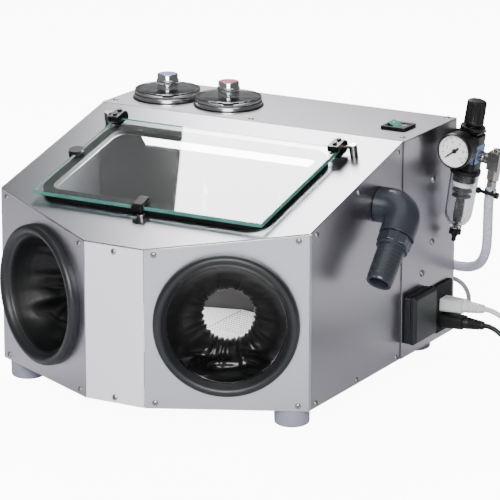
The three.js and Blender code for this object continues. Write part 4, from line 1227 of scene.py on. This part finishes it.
# pale sweep, lit from behind like a light table, so that it goes to white while its shine on the object
# stays soft
def floorMaterial():
    material = finish("pale studio floor", "#e9e9ee", 0.7, patch=800, grain=20, bump=0.0, spread=0.005)
    tree = material.node_tree
    path = addNode(material, "LightPath")
    glow = addNode(material, "Emission", values={"Color": (1, 1, 1, 1), "Strength": 10.0})
    bright = addNode(material, "AddShader", links={0: glow.outputs[0]})
    tree.links.new(tree.nodes["Principled BSDF"].outputs[0], bright.inputs[1])
    mixed = addNode(material, "MixShader", links={0: path.outputs["Is Camera Ray"], 2: bright.outputs[0]})
    tree.links.new(tree.nodes["Principled BSDF"].outputs[0], mixed.inputs[1])
    tree.links.new(mixed.outputs[0], tree.nodes["Material Output"].inputs["Surface"])
    return material


def stage():
    bm = bmesh.new()
    bmesh.ops.create_grid(bm, x_segments=1, y_segments=1, size=6)
    mesh = bpy.data.meshes.new("floor")
    bm.to_mesh(mesh)
    bm.free()
    mesh.materials.append(floorMaterial())
    floor = bpy.data.objects.new("floor", mesh)
    bpy.context.scene.collection.objects.link(floor)
    floor.location.z = -0.0005


def areaLight(name, place, power, width, height):
    data = bpy.data.lights.new(name, "AREA")
    data.shape = "RECTANGLE"
    data.size = width
    data.size_y = height
    data.energy = power
    light = bpy.data.objects.new(name, data)
    bpy.context.scene.collection.objects.link(light)
    light.matrix_world = place


def aimed(position, target):
    away = (Vector(position) - Vector(target)).normalized()
    return Matrix.Translation(position) @ away.to_track_quat("Z", "Y").to_matrix().to_4x4()


# the tall softbox behind the left shoulder is what the glass mirrors; its left edge makes the upright line
# across the window
def glassSoftbox():
    mirror = Vector((-0.4952, 0.6116, 0.617)).normalized()
    across = Vector((mirror.y, -mirror.x, 0)).normalized()
    upward = across.cross(mirror)
    edgeX = -(across * 0.911 + upward * 0.412)
    edgeY = upward * 0.911 - across * 0.412
    middle = at(4.7, 87.8, 302.3) + mirror * 2.2 - edgeX * 0.3114
    axes = Matrix((edgeX, edgeY, mirror)).transposed().to_4x4()
    areaLight("glass softbox", Matrix.Translation(middle) @ axes, 52, 0.66, 0.9)


# dim surroundings, a little lighter on the left; the camera itself sees them white
surroundings = {"left": 0.27, "right": 0.16, "seen": 8}


def world():
    sky = bpy.data.worlds.new("studio")
    bpy.context.scene.world = sky
    sky.use_nodes = True
    sky.node_tree.nodes.clear()
    where = addNode(sky, "TexCoord")
    parts = addNode(sky, "SeparateXYZ", links={0: where.outputs["Generated"]})
    shade = ramp(sky, parts.outputs["X"],
                 [(0.0, grey(surroundings["left"])), (0.6, grey(surroundings["right"]))])
    seen = addNode(sky, "Background", values={"Strength": surroundings["seen"]})
    lit = addNode(sky, "Background", links={"Color": shade})
    path = addNode(sky, "LightPath")
    mix = addNode(sky, "MixShader",
                  links={0: path.outputs["Is Camera Ray"], 1: lit.outputs[0], 2: seen.outputs[0]})
    addNode(sky, "OutputWorld", links={"Surface": mix.outputs[0]})


# each lamp's place, power in watts, width and height in metres
lamps = {"front key": (aimed((1.2, -2.5, 1.6), (0, 0, 0.15)), 120, 1.6, 1.3),
         "chamber lamp, left wall": (aimed(at(-90, 215, 262), at(-240, 150, 170)), 2.6, 0.15, 0.04),
         "chamber lamp": (placed(0, 224, 296, (math.radians(-50), "X")), 2.2, 0.3, 0.03),
         "overhead": (aimed((0.1, -0.2, 2.6), (0, 0, 0)), 14, 2.2, 1.6)}

stage()
glassSoftbox()
for lampName, (place, power, width, height) in lamps.items():
    areaLight(lampName, place, power, width, height)
world()
print("stage and lights")
